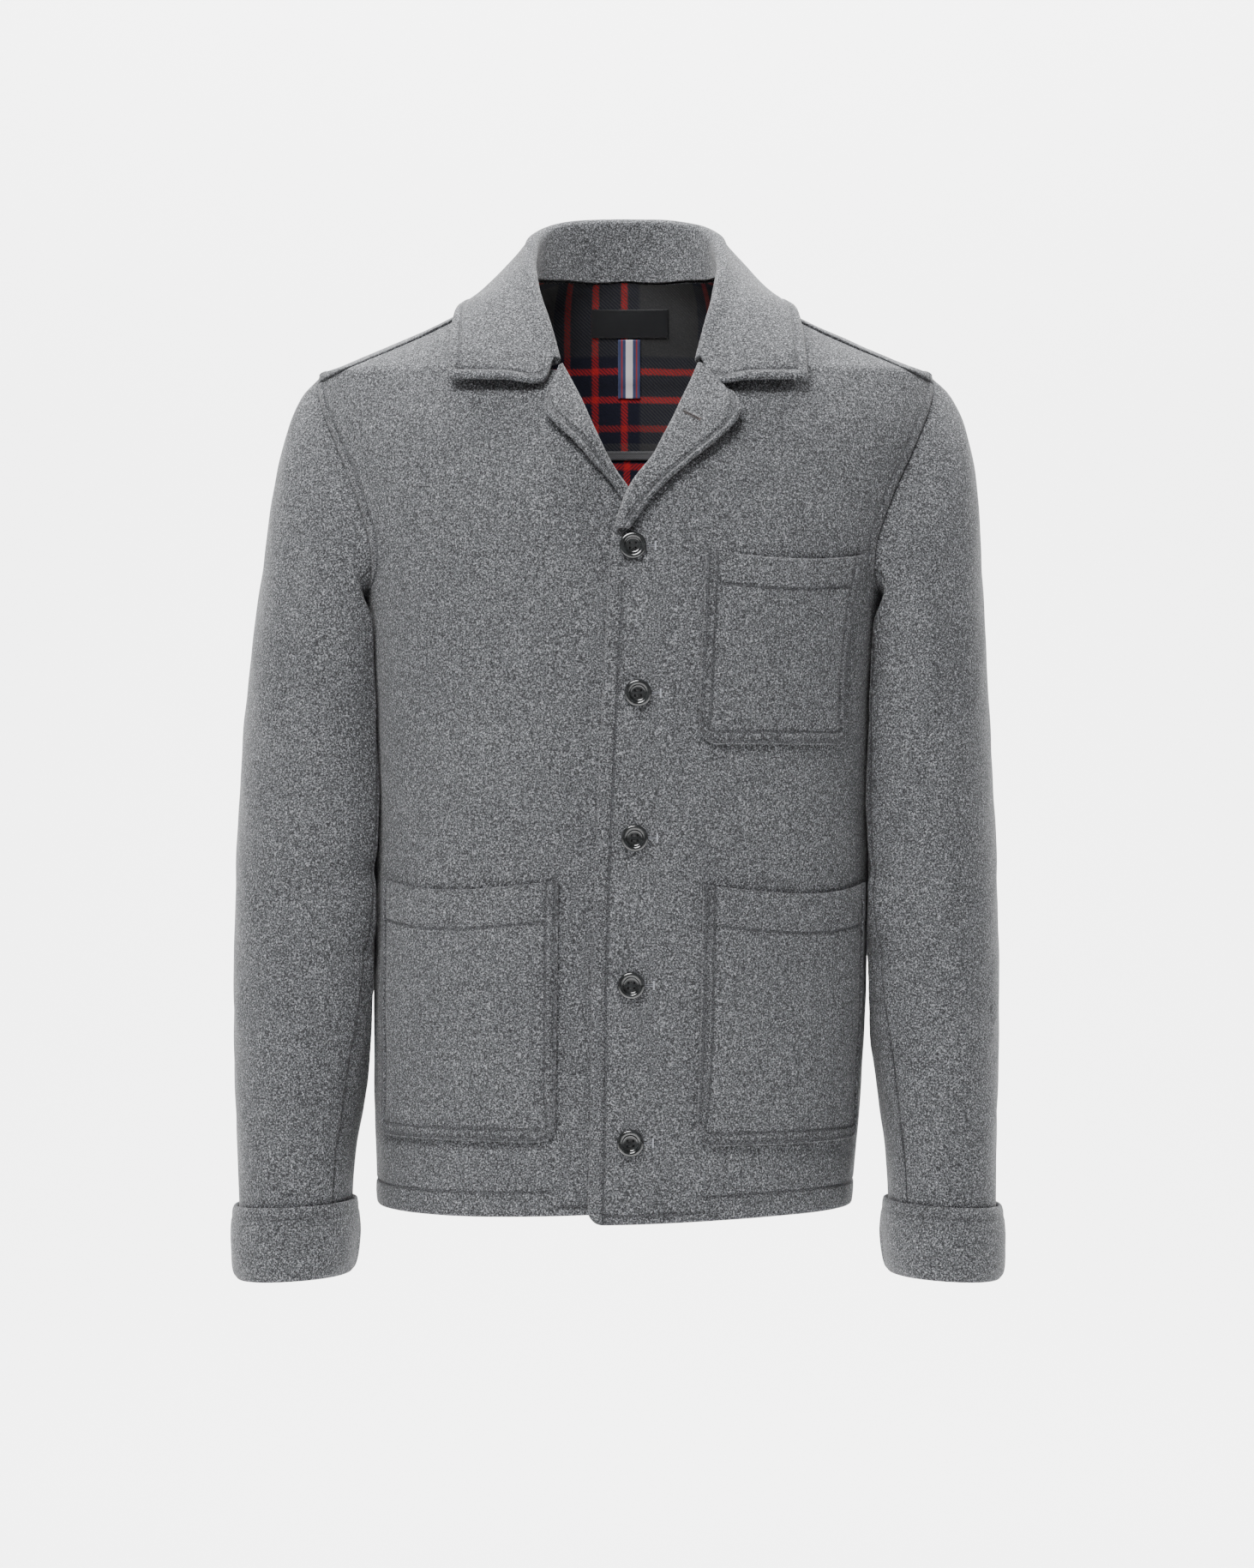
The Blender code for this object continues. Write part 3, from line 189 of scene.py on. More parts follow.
RIGHT_SLEEVE = (
    (0.2325, -0.0600, 0.1965, -0.2350, -0.005, 0.0630),
    (0.2470, -0.0760, 0.2030, -0.2425, -0.004, 0.0660),
    (0.2590, -0.1050, 0.1970, -0.2505, -0.003, 0.0700),
    (0.2675, -0.1450, 0.1840, -0.2620, -0.001, 0.0745),
    (0.2745, -0.1950, 0.1750, -0.2810, 0.000, 0.0760),
    (0.2830, -0.2600, 0.1700, -0.3200, 0.000, 0.0755),
    (0.2905, -0.3400, 0.1690, -0.3730, -0.002, 0.074),
    (0.2955, -0.4300, 0.1700, -0.4400, -0.007, 0.070),
    (0.2965, -0.5200, 0.1800, -0.5170, -0.014, 0.066),
    (0.2950, -0.6000, 0.1945, -0.5950, -0.022, 0.061),
    (0.2915, -0.6700, 0.2050, -0.6650, -0.030, 0.056),
    (0.2890, -0.7400, 0.2085, -0.7350, -0.036, 0.054),
)
SLEEVE_CLEAR = 0.0030  # between a sleeve and the body's side
POCKET_CLEAR = 0.0022  # more of it beside the hip pockets
SLEEVE_END = 0.972  # share of the sleeve form where the cuff takes over

FRONT_COLUMNS = 9
NECK_COLUMNS = 5
UNDER = 0.6  # share of a front's height that lies below the armhole
BELOW_LAPEL = 0.585  # the place just under the lapel's lower end
BACK_UNDER = 0.66
ARMHOLE_ROWS = (0, 0.09, 0.17, 0.27, 0.38, 0.50, 0.62, 0.72, 0.82, 0.91, 1)
GORGE_ROW = 6
BACK_ARMHOLE_ROWS = (0, 0.09, 0.20, 0.34, 0.51, 0.68, 0.84, 1)
YOKE_ROWS = 6

BUTTONS = ((0.0053, -0.1960), (0.0090, -0.3034), (0.0066, -0.4090), (0.0041, -0.5165), (0.0034, -0.6315))


# Soft folds pressed into the body: angle and height of both ends, half width, depth
BODY_FOLDS = (
    (104, -0.300, 150, -0.390, 0.026, -0.0040),
    (-106, -0.320, -148, -0.360, 0.028, -0.0040),
    (130, -0.200, 134, -0.420, 0.028, 0.0030),
    (-132, -0.210, -138, -0.400, 0.030, 0.0030),
    (158, -0.540, 160, -0.690, 0.036, 0.0035),
    (-152, -0.560, -156, -0.690, 0.034, 0.0030),
)
# Soft folds pressed into a sleeve: turn and share of the length of both ends, half width, depth
SLEEVE_FOLDS = (
    (150, 0.50, 60, 0.56, 0.016, -0.0030),
    (165, 0.60, 90, 0.63, 0.014, -0.0028),
    (120, 0.66, 40, 0.68, 0.016, -0.0022),
    (200, 0.30, 262, 0.38, 0.018, -0.0030),
    (230, 0.72, 300, 0.76, 0.018, -0.0024),
    (60, 0.14, 70, 0.34, 0.020, -0.0026),
)




def even(count):
    return np.linspace(0, 1, count + 1)


def smooth_curve(rows):
    """A curve through rows whose first column is the place; it never overshoots between rows."""
    rows = np.array(rows, float)
    knots = rows[:, 0]
    values = rows[:, 1:]
    gap = np.diff(knots)[:, None]
    slope = np.diff(values, axis=0) / gap
    before = slope[:-1]
    after = slope[1:]
    same_way = before * after > 0
    total = np.where(same_way, before + after, 1.0)
    inner = np.where(same_way, 2 * before * after / total, 0.0)
    tangent = np.vstack([slope[:1], inner, slope[-1:]])

    def at(place):
        place = np.clip(np.asarray(place, float), knots[0], knots[-1])
        row = np.clip(np.searchsorted(knots, place, side="right") - 1, 0, len(knots) - 2)
        width = gap[row]
        t = ((place - knots[row]) / width[..., 0])[..., None]
        return (
            values[row] * (1 + 2 * t) * (1 - t) ** 2
            + values[row + 1] * t * t * (3 - 2 * t)
            + tangent[row] * width * t * (1 - t) ** 2
            - tangent[row + 1] * width * t * t * (1 - t)
        )

    return at


def eased(x, low, high):
    """0 below low, 1 above high, with a soft step between."""
    t = np.clip((x - low) / (high - low), 0, 1)
    return t * t * (3 - 2 * t)


def evenly(points):
    """A curve of 0 to 1 through points, spaced by their distances."""
    points = np.array(points, float)
    far = np.linalg.norm(np.diff(points, axis=0), axis=1)
    places = np.concatenate([[0], np.cumsum(far)]) / far.sum()
    return smooth_curve(np.column_stack([places, points]))


section_at = smooth_curve(sorted(SECTIONS))
armhole_at = smooth_curve(
    [(t - 360, a, h) for t, a, h in ARMHOLE[-3:]]
    + list(ARMHOLE)
    + [(t + 360, a, h) for t, a, h in ARMHOLE[:3]]
)


def fold_depth(a, b, folds, metres_a):
    """How far the soft folds move the cloth at places (a, b). A fold is a line between two ends."""
    moved = np.zeros_like(a)
    for a0, b0, a1, b1, half_width, depth in folds:
        along = np.array([(a1 - a0) * metres_a, b1 - b0])
        da = (a - a0) * metres_a
        db = b - b0
        share = np.clip((da * along[0] + db * along[1]) / (along @ along), 0, 1)
        far = np.hypot(da - share * along[0], db - share * along[1])
        moved += depth * np.exp(-((far / half_width) ** 2))
    return moved


def body_skin(angle, height):
    """Points on the outside of the body form, before folds."""
    half, front, back, square, middle = section_at(height).T
    turn = np.radians(angle)
    power = 2 / square
    sine = np.sin(turn)
    cosine = np.cos(turn)
    x = middle + half * np.sign(sine) * np.abs(sine) ** power
    deep = np.where(cosine > 0, front, back)
    y = -np.sign(cosine) * deep * np.abs(cosine) ** power
    return np.column_stack([x, y, height])


def outward(skin, a, b, step_a, step_b):
    """Unit normals of a skin, by small steps along both its directions."""
    along = skin(a + step_a, b) - skin(a - step_a, b)
    upward = skin(a, b + step_b) - skin(a, b - step_b)
    normal = np.cross(along, upward)
    return normal / np.linalg.norm(normal, axis=1)[:, None]


def body(angle, height, out=0.0):
    """Points on the body form, out metres outside it."""
    angle = np.asarray(angle, float)
    height = np.asarray(height, float)
    signed = (angle + 180) % 360 - 180
    folds = fold_depth(signed, height, BODY_FOLDS, 0.19 * pi / 180)
    folds = folds * (1 - eased(np.abs(signed), 165, 180)) * eased(-height, 0.15, 0.23)
    normal = outward(body_skin, angle, height, 1.0, 0.001)
    return body_skin(angle, height) + normal * (out + folds)[:, None]


def angle_of(x, height):
    """The angle, from -90 to 90, at which the body form's front has this x."""
    half, _, _, square, middle = section_at(height).T
    share = np.clip((x - middle) / half, -1, 1)
    return np.degrees(np.arcsin(np.sign(share) * np.abs(share) ** (square / 2)))


def own_angle(side, x, height):
    """The angle of a front's own x, both counted towards the side that the front is on."""
    return side * angle_of(side * np.asarray(x, float), height)


def front(x, height, out=0.0):
    """A point on the front of the body form, by its x."""
    x = np.asarray(x, float)
    height = np.asarray(height, float)
    return body(angle_of(x, height), height, out)


RIDGE = np.linspace(SECTIONS[0][0], SECTIONS[8][0], 300)
RIDGE_X = section_at(RIDGE)[:, 0]


def ridge_height(x):
    """Height of the shoulder's top line at this distance from the middle."""
    return np.interp(np.abs(x), RIDGE_X, RIDGE)


def over_shoulder(x, over):
    """Angle and height at x: over is the square root of the drop below the ridge, minus behind."""
    height = ridge_height(x) - over * over
    angle = np.abs(angle_of(np.abs(x), height))
    angle = np.where(over < 0, 180 - angle, angle)
    return np.where(x < 0, -angle, angle), height


def drop_over(x, height, behind):
    """The over value of a height, the reverse of over_shoulder."""
    drop = np.sqrt(np.maximum(ridge_height(x) - height, 0))
    return np.where(behind, -drop, drop)


def patch(left, right, bottom, top):
    """Fills four edge curves, each of 0 to 1, into a function of across and up."""
    ends = [np.array([0.0]), np.array([1.0])]
    corner = {(i, j): (bottom, top)[j](ends[i])[0] for i in (0, 1) for j in (0, 1)}

    def at(u, v):
        U = u[:, None]
        V = v[:, None]
        sides = (1 - U) * left(v) + U * right(v) + (1 - V) * bottom(u) + V * top(u)
        flat = (1 - U) * ((1 - V) * corner[0, 0] + V * corner[0, 1])
        flat += U * ((1 - V) * corner[1, 0] + V * corner[1, 1])
        return sides - flat

    return at


TIP_TURN = 13.0  # where the shoulder seam meets the armhole
TIP_SKIN = body_skin(*armhole_at(np.array([TIP_TURN])).T)[0]
TIP_X = TIP_SKIN[0]
TIP_OVER = drop_over(TIP_X, TIP_SKIN[2], False)
NECK_X = 0.0795
neck_at = smooth_curve(NECK)
collar_at = smooth_curve(COLLAR)


def seam_over(x):
    """The shoulder seam lies a little in front of the shoulder's top line."""
    return 0.075 + (TIP_OVER - 0.075) * eased(x, NECK_X, TIP_X)


def seam_point(share):
    """The shoulder seam from the neck (0) to the armhole (1), as angle and height."""
    x = NECK_X + share * (TIP_X - NECK_X)
    return np.column_stack(over_shoulder(x, seam_over(x)))


def nearest_turn(column, wanted, low, high):
    """The turn of the armhole, between low and high, where its angle or height is the wanted one."""
    turns = np.linspace(low, high, 2000)
    return turns[np.argmin(np.abs(armhole_at(turns)[:, column] - wanted))]


YOKE_TURN = nearest_turn(1, YOKE_SEAM, 270, 330)
front_turns = 180 + (TIP_TURN - 180) * np.array(ARMHOLE_ROWS)
back_turns = 180 + (YOKE_TURN - 180) * np.array(BACK_ARMHOLE_ROWS)
yoke_turns = YOKE_TURN + (360 + TIP_TURN - YOKE_TURN) * even(YOKE_ROWS)
ARM_TURNS = np.concatenate([front_turns[::-1], back_turns[1:], yoke_turns[1:]])
FRONT_SEAM = front_turns[3]
BACK_SEAM = back_turns[3]


def into_panel(turn):
    """The way along the body from the armhole seam into the panel beside it."""

    def seam(turn):
        return body_skin(*armhole_at(turn % 360).T)

    angle, height = armhole_at(turn % 360).T
    normal = outward(body_skin, angle, height, 1.0, 0.001)
    way = np.cross(seam(turn + 1) - seam(turn - 1), normal)
    way /= np.linalg.norm(way, axis=1)[:, None]
    middle = np.array([0.215, -0.005, -0.150])
    facing = np.sum(way * (seam(turn) - middle), axis=1)
    return way * np.sign(facing)[:, None]


def sleeve_form(side, rings):
    """The sleeve's form: turn round it and share of its length, out metres outside it."""
    rows = np.array(rings, float)
    middles = (rows[:, [0, 1]] + rows[:, [2, 3]]) / 2
    far = np.linalg.norm(np.diff(middles, axis=0), axis=1) + 0.012
    places = np.concatenate([[0], np.cumsum(far)]) / far.sum()
    ring_at = smooth_curve(np.column_stack([places, rows]))
    blunt = 2 / 2.15

    def ring(turn, share):
        outer_x, outer_z, inner_x, inner_z, middle_y, half_depth = ring_at(share).T
        cosine = np.cos(np.radians(turn))
        sine = np.sin(np.radians(turn))
        cosine = np.sign(cosine) * np.abs(cosine) ** blunt
        sine = np.sign(sine) * np.abs(sine) ** blunt
        x = (outer_x + inner_x) / 2 + (outer_x - inner_x) / 2 * cosine
        z = (outer_z + inner_z) / 2 + (outer_z - inner_z) / 2 * cosine
        return np.column_stack([x, middle_y - half_depth * sine, z])

    def beside_body(point, turn, share, clear):
        """Hold the underarm cloth just clear of the body's side."""
        half, front_deep, back_deep, square, middle = section_at(point[:, 2]).T
        deep = np.where(point[:, 1] < 0, front_deep, back_deep)
        level = np.clip(1 - np.abs(point[:, 1] / deep) ** square, 0, 1) ** (1 / square)
        least = side * middle + half * level + clear
        least += POCKET_CLEAR * eased(-point[:, 2], 0.37, 0.42)
        under_arm = (turn % 360 > 90) & (turn % 360 < 270) & (share > 0.015)
        point[:, 0] = np.where(under_arm, np.maximum(point[:, 0], least), point[:, 0])
        return point

    def skin(turn, share):
        angle, height = armhole_at(turn % 360).T
        hole = body_skin(side * angle, height) * (side, 1, 1)
        start = ring(turn, np.zeros_like(share))
        away = ring(turn, np.full_like(share, 0.05)) - start
        away = away / np.linalg.norm(away, axis=1)[:, None] - into_panel(turn)
        away /= np.linalg.norm(away, axis=1)[:, None]
        held = (1 - eased(share, 0.0, 0.26))[:, None]
        point = ring(turn, share) + (hole - start) * held
        return beside_body(point, turn, share, SLEEVE_CLEAR)

    def at(turn, share, out=0.0):
        normal = outward(skin, turn, share, 1.0, 0.002)
        folds = fold_depth(turn % 360, share, SLEEVE_FOLDS, 0.068 * pi / 180 / 0.7)
        moved = out + folds * eased(share, 0.08, 0.2)
        points = skin(turn, share) + normal * moved[:, None]
        points = beside_body(points, turn, share, SLEEVE_CLEAR - out)
        return points * (side, 1, 1)

    return at, skin


def seam_way(turn):
    """The way the cloth's thickness leans at the armhole seam, shared by the body and sleeve."""
    angle, height = armhole_at(turn % 360).T
    of_body = outward(body_skin, angle, height, 1.0, 0.001)
    of_sleeve = outward(left_skin, turn, np.full_like(turn, 0.012), 1.5, 0.010)
    way = of_body + of_sleeve
    way /= np.linalg.norm(way, axis=1)[:, None]
    lean = np.sum(way * of_body, axis=1)
    return way / np.maximum(lean, 0.8)[:, None]


left_form, left_skin = sleeve_form(1, LEFT_SLEEVE)
right_form, right_skin = sleeve_form(-1, RIGHT_SLEEVE)


def roll_edge(lapel, inset):
    """Edge of the front under the lapel's fold, from its lower end up: the roll line moved
    inset towards the lapel's edge."""
    rows = np.array(lapel, float)[::-1]
    towards = rows[:, 2:4] - rows[:, 0:2]
    towards /= np.linalg.norm(towards, axis=1)[:, None]
    return rows[:, 0:2] + towards * inset


FOLD = 0.0030  # radius of the middle of the cloth round the lapel's fold
INSET = FOLD + DOUBLE / 2 + 0.0008


def side_turn(share, low_turn, under):
    """The armhole turn of a panel's side edge, nan below the armhole."""
    turn = 180 + (low_turn - 180) * (share - under) / (1 - under)
    return np.where(share < under - 1e-6, np.nan, turn)


def side_edge(share, top_turn, under):
    """The side seam, then the armhole seam, as angle and height."""
    height = HEM + (armhole_at(180.0)[1] - HEM) * np.clip(share / under, 0, 1)
    turn = side_turn(share, top_turn, under)
    low = np.isnan(turn)
    angle, arm_height = armhole_at(np.where(low, 180.0, turn)).T
    return np.where(low, 90.0, angle), np.where(low, height, arm_height)


def front_edges(side, edge, lapel):
    """Edge curves of one front as its own angle and height."""
    opening = evenly(edge)
    roll = evenly(roll_edge(lapel, INSET - 0.0005))
    arm_rows = UNDER + (1 - UNDER) * np.array(ARMHOLE_ROWS)
    fold_end = arm_rows[GORGE_ROW - 1]
    neck_rows = arm_rows[GORGE_ROW:]
    neck_places = np.linspace(1.0, 0.6, len(neck_rows))
    gorge = (fold_end + neck_rows[0]) / 2

    def left(v):
        neck_x, over = neck_at(np.interp(v, neck_rows, neck_places)).T
        neck = np.column_stack([neck_x, ridge_height(neck_x) - over * over])
        low = np.clip(v / BELOW_LAPEL, 0, 1)
        high = np.clip((v - UNDER) / (fold_end - UNDER), 0, 1)
        step = np.clip((v - BELOW_LAPEL) / (UNDER - BELOW_LAPEL), 0, 1)[:, None]
        flat = np.where(v[:, None] < gorge, opening(low) * (1 - step) + roll(high) * step, neck)
        x, height = flat.T
        return np.column_stack([own_angle(side, x, height), height])

    def right(v):
        return np.column_stack(side_edge(v, TIP_TURN, UNDER))

    start = left(np.array([0.0]))[0]
    stop = right(np.array([0.0]))[0]
    bottom = smooth_curve([(0, *start), (0.5, (start[0] + stop[0]) / 2, HEM - 0.001), (1, *stop)])
    return left, right, bottom, seam_point


def sink(x, height):
    """How far the right front lies below the form where it runs under the left front."""
    near = eased(x, -0.060, -0.022) * (1 - eased(height, -0.150, -0.105))
    deep = eased(height, -0.245, -0.205) * (1 - eased(height, -0.150, -0.105))
    return -LAP * near - 0.0068 * deep * eased(x, -0.045, -0.006)

def yoke_line(u):
    """The yoke seam across the back, as x and over the shoulder."""
    seam_x = body_skin(*armhole_at(np.array([YOKE_TURN])).T)[0, 0]
    share = 2 * u - 1
    neck = NECK_COLUMNS / (NECK_COLUMNS + FRONT_COLUMNS)
    x = seam_x * np.sign(share) * np.interp(np.abs(share), [0, neck, 1], [0, 0.36, 1])
    return x, drop_over(x, np.full_like(x, YOKE_SEAM), True)


def lapel_place(side, lapel, pinch):
    """Carries a slab round the lapel's fold and out over the front to the lapel's edge. The
    fold grows tighter by the share pinch towards its lower end."""
    rows = np.array(lapel, float)
    row_at = smooth_curve(np.column_stack([even(len(rows) - 1), rows]))
    round_fold = 0.36

    def skin(u, v):
        roll_x, roll_height, edge_x, edge_height, lift = row_at(v).T
        length = np.hypot(edge_x - roll_x, edge_height - roll_height)
        way = np.column_stack([edge_x - roll_x, edge_height - roll_height]) / length[:, None]
        turn = np.clip(u / round_fold, 0, 1) * pi
        leaf = np.clip((u - round_fold) / (1 - round_fold), 0, 1)
        fold = FOLD * (1 - pinch * eased(v, 0.50, 0.85))
        reach = INSET - fold * np.sin(turn) + leaf * (length - INSET)
        flat = np.column_stack([roll_x, roll_height]) + way * reach[:, None]
        out = -WALL / 2 + fold * (1 - np.cos(turn)) + lift * leaf
        if side < 0:
            out = out + sink(-flat[:, 0], flat[:, 1])
        return front(side * flat[:, 0], flat[:, 1], out)

    def place(u, v, depth):
        normal = outward(skin, u, v, 0.004, 0.004) * side
        return skin(u, v) + normal * (DOUBLE * (depth - 0.5))[:, None]

    return place


def neck_seam(place):
    """Middle of the stand's lower edge, just inside the panels' neck edge."""

    def skin(place):
        return body_skin(*over_shoulder(*neck_at(place).T))

    angle, height = over_shoulder(*neck_at(place).T)
    normal = outward(body_skin, angle, height, 1.0, 0.001)
    along = skin(place + 0.01) - skin(place - 0.01)
    inward = np.cross(along, normal)
    inward /= np.linalg.norm(inward, axis=1)[:, None]
    flat = eased(place, 0.5, 1.0)[:, None]
    way = unit((1 - flat) * unit(inward * (1, 1, 0)) + flat * inward)
    aside = DOUBLE / 2 + 0.0005 + 0.0014 * flat
    return skin(place) + way * aside + normal * (0.0002 - 0.0014 * flat), normal, inward


def unit(rows):
    return rows / np.linalg.norm(rows, axis=1)[:, None]


def collar_skin(u, v):
    """Middle of the collar's cloth: u from -1 to 1 round the neck, v from the seam to the edge.
    The fold's top points up at the back and turns inwards where the collar lies flat."""
    place = np.abs(u)
    row = collar_at(place)
    seam, normal, inward = neck_seam(np.clip(place, 0.011, 0.989))
    seam[:, 0] *= np.clip(place / 0.011, 0, 1)
    roll = row[:, 0:3]
    near = row[:, 3:6]
    middle = row[:, 6:9]
    edge = body(*over_shoulder(row[:, 9], row[:, 10]), row[:, 11])
    flat = eased(place, 0.5, 1.0)[:, None]
    up = unit((1 - flat) * np.array([0, 0, 1.0]) + flat * inward)
    out = (1 - flat) * unit(near - roll) + flat * normal
    out = unit(out - up * np.sum(out * up, axis=1)[:, None])
    radius = 0.0040 - 0.0010 * flat
    centre = roll - up * radius
    slant = radius * 0.707
    knots = (
        (0.00, seam),
        (0.16, (seam + centre - out * radius) / 2),
        (0.30, centre - out * radius),
        (0.34, centre - out * slant + up * slant),
        (0.38, roll),
        (0.42, centre + out * slant + up * slant),
        (0.46, centre + out * radius),
        (0.58, near),
        (0.78, middle),
        (1.00, edge),
    )
    point = np.zeros_like(seam)
    for i in range(len(knots) - 1):
        v0, p0 = knots[i]
        v1, p1 = knots[i + 1]
        before_v, before = knots[max(i - 1, 0)]
        after_v, after = knots[min(i + 2, len(knots) - 1)]
        inside = (v >= v0) | (i == 0)
        t = ((v - v0) / (v1 - v0))[:, None]
        start = (p1 - before) / (v1 - before_v) * (v1 - v0)
        stop = (after - p0) / (after_v - v0) * (v1 - v0)
        value = p0 * (1 + 2 * t) * (1 - t) ** 2 + p1 * t * t * (3 - 2 * t)
        value += start * t * (1 - t) ** 2 - stop * t * t * (1 - t)
        point = np.where(inside[:, None], value, point)
    point[:, 0] *= np.where(u < 0, -1, 1)
    point[:, 0] += 0.0015 * eased(place, 0.5, 1.0) * eased(v, 0.1, 0.35)
    return point




# Cloth pieces

GROOVE = 0.0008  # how deep a row of stitches presses into the wool
TURNED = (0, 0.0002, 0.0005, 0.0009, 0.0014, 0.0020)  # rows round a turned edge
PRESSED = (0, 0.0003, 0.0007, 0.0012, 0.0018, 0.0026)  # rows down into a sewn seam


def stitched(*places):
    """Rows across stitch grooves at these distances from an edge."""
    steps = (-0.0022, -0.0011, -0.0004, 0.0004, 0.0011, 0.0022)
    rows = sorted(place + step for place in places for step in steps)
    kept = [rows[0]]
    for row in rows[1:]:
        if row - kept[-1] > 0.0004:
            kept.append(row)
    return tuple(kept)


def rounded(far, radius):
    """How much of a rounded edge's radius is missing at a distance from the edge."""
    t = np.clip(far / np.maximum(radius, 1e-6), 0, 1)
    return 1 - np.sqrt(1 - (1 - t) ** 2)


def pressed(far, width=0.0011):
    """1 on a row of stitches and 0 away from it, by the distance to the row."""
    return np.exp(-((far / width) ** 2))


def ridge(far, place, height):
    """The soft roll of cloth between an edge and the row of stitches at place."""
    return height * np.sin(pi * np.clip(far / place, 0, 1)) ** 0.7


def uneven(a, b, height=0.0003):
    """Slight hand-made unevenness of pressed wool, by two lengths along the cloth."""
    waves = np.sin(61 * a + 37 * b) + np.sin(-43 * a + 71 * b + 1.7) + 0.7 * np.sin(97 * a + 23 * b + 4.1)
    waves += 0.5 * np.sin(150 * a - 120 * b + 2.3) + 0.4 * np.sin(33 * a + 190 * b + 0.6)
    return height * waves / 1.8


class Edges:
    """Distances along the cloth from the four edges of a piece."""

    def __init__(self, left, right, low, high):
        self.left = left
        self.right = right
        self.low = low
        self.high = high

    def nearest(self, names):
        return np.min([getattr(self, name) for name in names], axis=0)


class Panel:
    """A cut piece: place(u, v, depth) carries its corners, and relief(edges, u, v) moves its
    outside. Lengths are measured along the cloth."""

    def __init__(self, name, place, thick, relief=None, seams=None, grain=None):
        self.name = name
        self.seams = seams or (lambda edges, u, v: np.full_like(u, 1.0))
        self.grain = grain or (lambda edges: ((edges.left - edges.right) / 2, edges.low))
        self.place = place
        self.thick = thick
        self.relief = relief or (lambda edges, u, v: np.zeros_like(u))
        self.grid = np.linspace(0, 1, 81)
        u, v = np.meshgrid(self.grid, self.grid)
        points = place(u.ravel(), v.ravel(), np.zeros(u.size)).reshape(*u.shape, 3)
        across = np.linalg.norm(np.diff(points, axis=1), axis=2)
        upward = np.linalg.norm(np.diff(points, axis=0), axis=2)
        cells = np.cross(np.diff(points, axis=1)[:-1], np.diff(points, axis=0)[:, :-1])
        self.area = float(np.linalg.norm(cells, axis=2).sum())
        self.across = np.pad(np.cumsum(across, axis=1), ((0, 0), (1, 0)))
        self.upward = np.pad(np.cumsum(upward, axis=0), ((1, 0), (0, 0)))

    def lookup(self, table, u, v):
        size = len(self.grid) - 1
        column = np.clip(u * size, 0, size - 1e-6)
        row = np.clip(v * size, 0, size - 1e-6)
        j = column.astype(int)
        i = row.astype(int)
        s = column - j
        t = row - i
        low = table[i, j] * (1 - s) + table[i, j + 1] * s
        high = table[i + 1, j] * (1 - s) + table[i + 1, j + 1] * s
        return low * (1 - t) + high * t

    def edges(self, u, v):
        left = self.lookup(self.across, u, v)
        low = self.lookup(self.upward, u, v)
        right = self.lookup(self.across, np.ones_like(u), v) - left
        high = self.lookup(self.upward, u, np.ones_like(u)) - low
        return Edges(left, right, low, high)

    def along_row(self, v):
        """Lengths along the row at v."""
        return np.array([np.interp(v, self.grid, column) for column in self.across.T])

    def along_column(self, u):
        return np.array([np.interp(u, self.grid, row) for row in self.upward])

    def at(self, u, v, out):
        outer = self.place(u, v, np.zeros_like(u))
        inner = self.place(u, v, np.ones_like(u))
        return outer + (outer - inner) / self.thick * out[:, None]

    def height(self, edges, u, v):
        """How far the finished outside stands off the form: raised parts less the stitch grooves."""
        return self.relief(edges, u, v) - GROOVE * pressed(self.seams(edges, u, v))

    def top(self, u, v, out=0.0):
        """Points on the finished outside."""
        return self.at(u, v, self.height(self.edges(u, v), u, v) + out)

    def size(self):
        """Width and length of the flat cut, and its area."""
        width = float(np.max(self.across[:, -1]))
        length = float(np.max(self.upward[-1]))
        return width, length, min(self.area, width * length)

    def spread(self, columns, rows):
        """Places of a fine grid. columns and rows are (distances from the first edge, how many
        between, distances from the last edge)."""

        def filled(total, first, count, last):
            fits = min(1, 0.42 * total / max(first[-1], last[-1], 1e-6))
            start = np.array(first) * fits
            stop = total - np.array(last[::-1]) * fits
            return np.concatenate([start, np.linspace(start[-1], stop[0], count + 2)[1:-1], stop])

        height = np.mean(self.upward[-1])
        levels = filled(height, *rows) / height
        u = []
        for level in levels:
            lengths = self.along_row(level)
            u.append(np.interp(filled(lengths[-1], *columns), lengths, self.grid))
        u = np.array(u)
        v = np.empty_like(u)
        for j in range(u.shape[1]):
            lengths = self.along_column(np.mean(u[:, j]))
            v[:, j] = np.interp(filled(lengths[-1], *rows), lengths, self.grid)
        return u, v


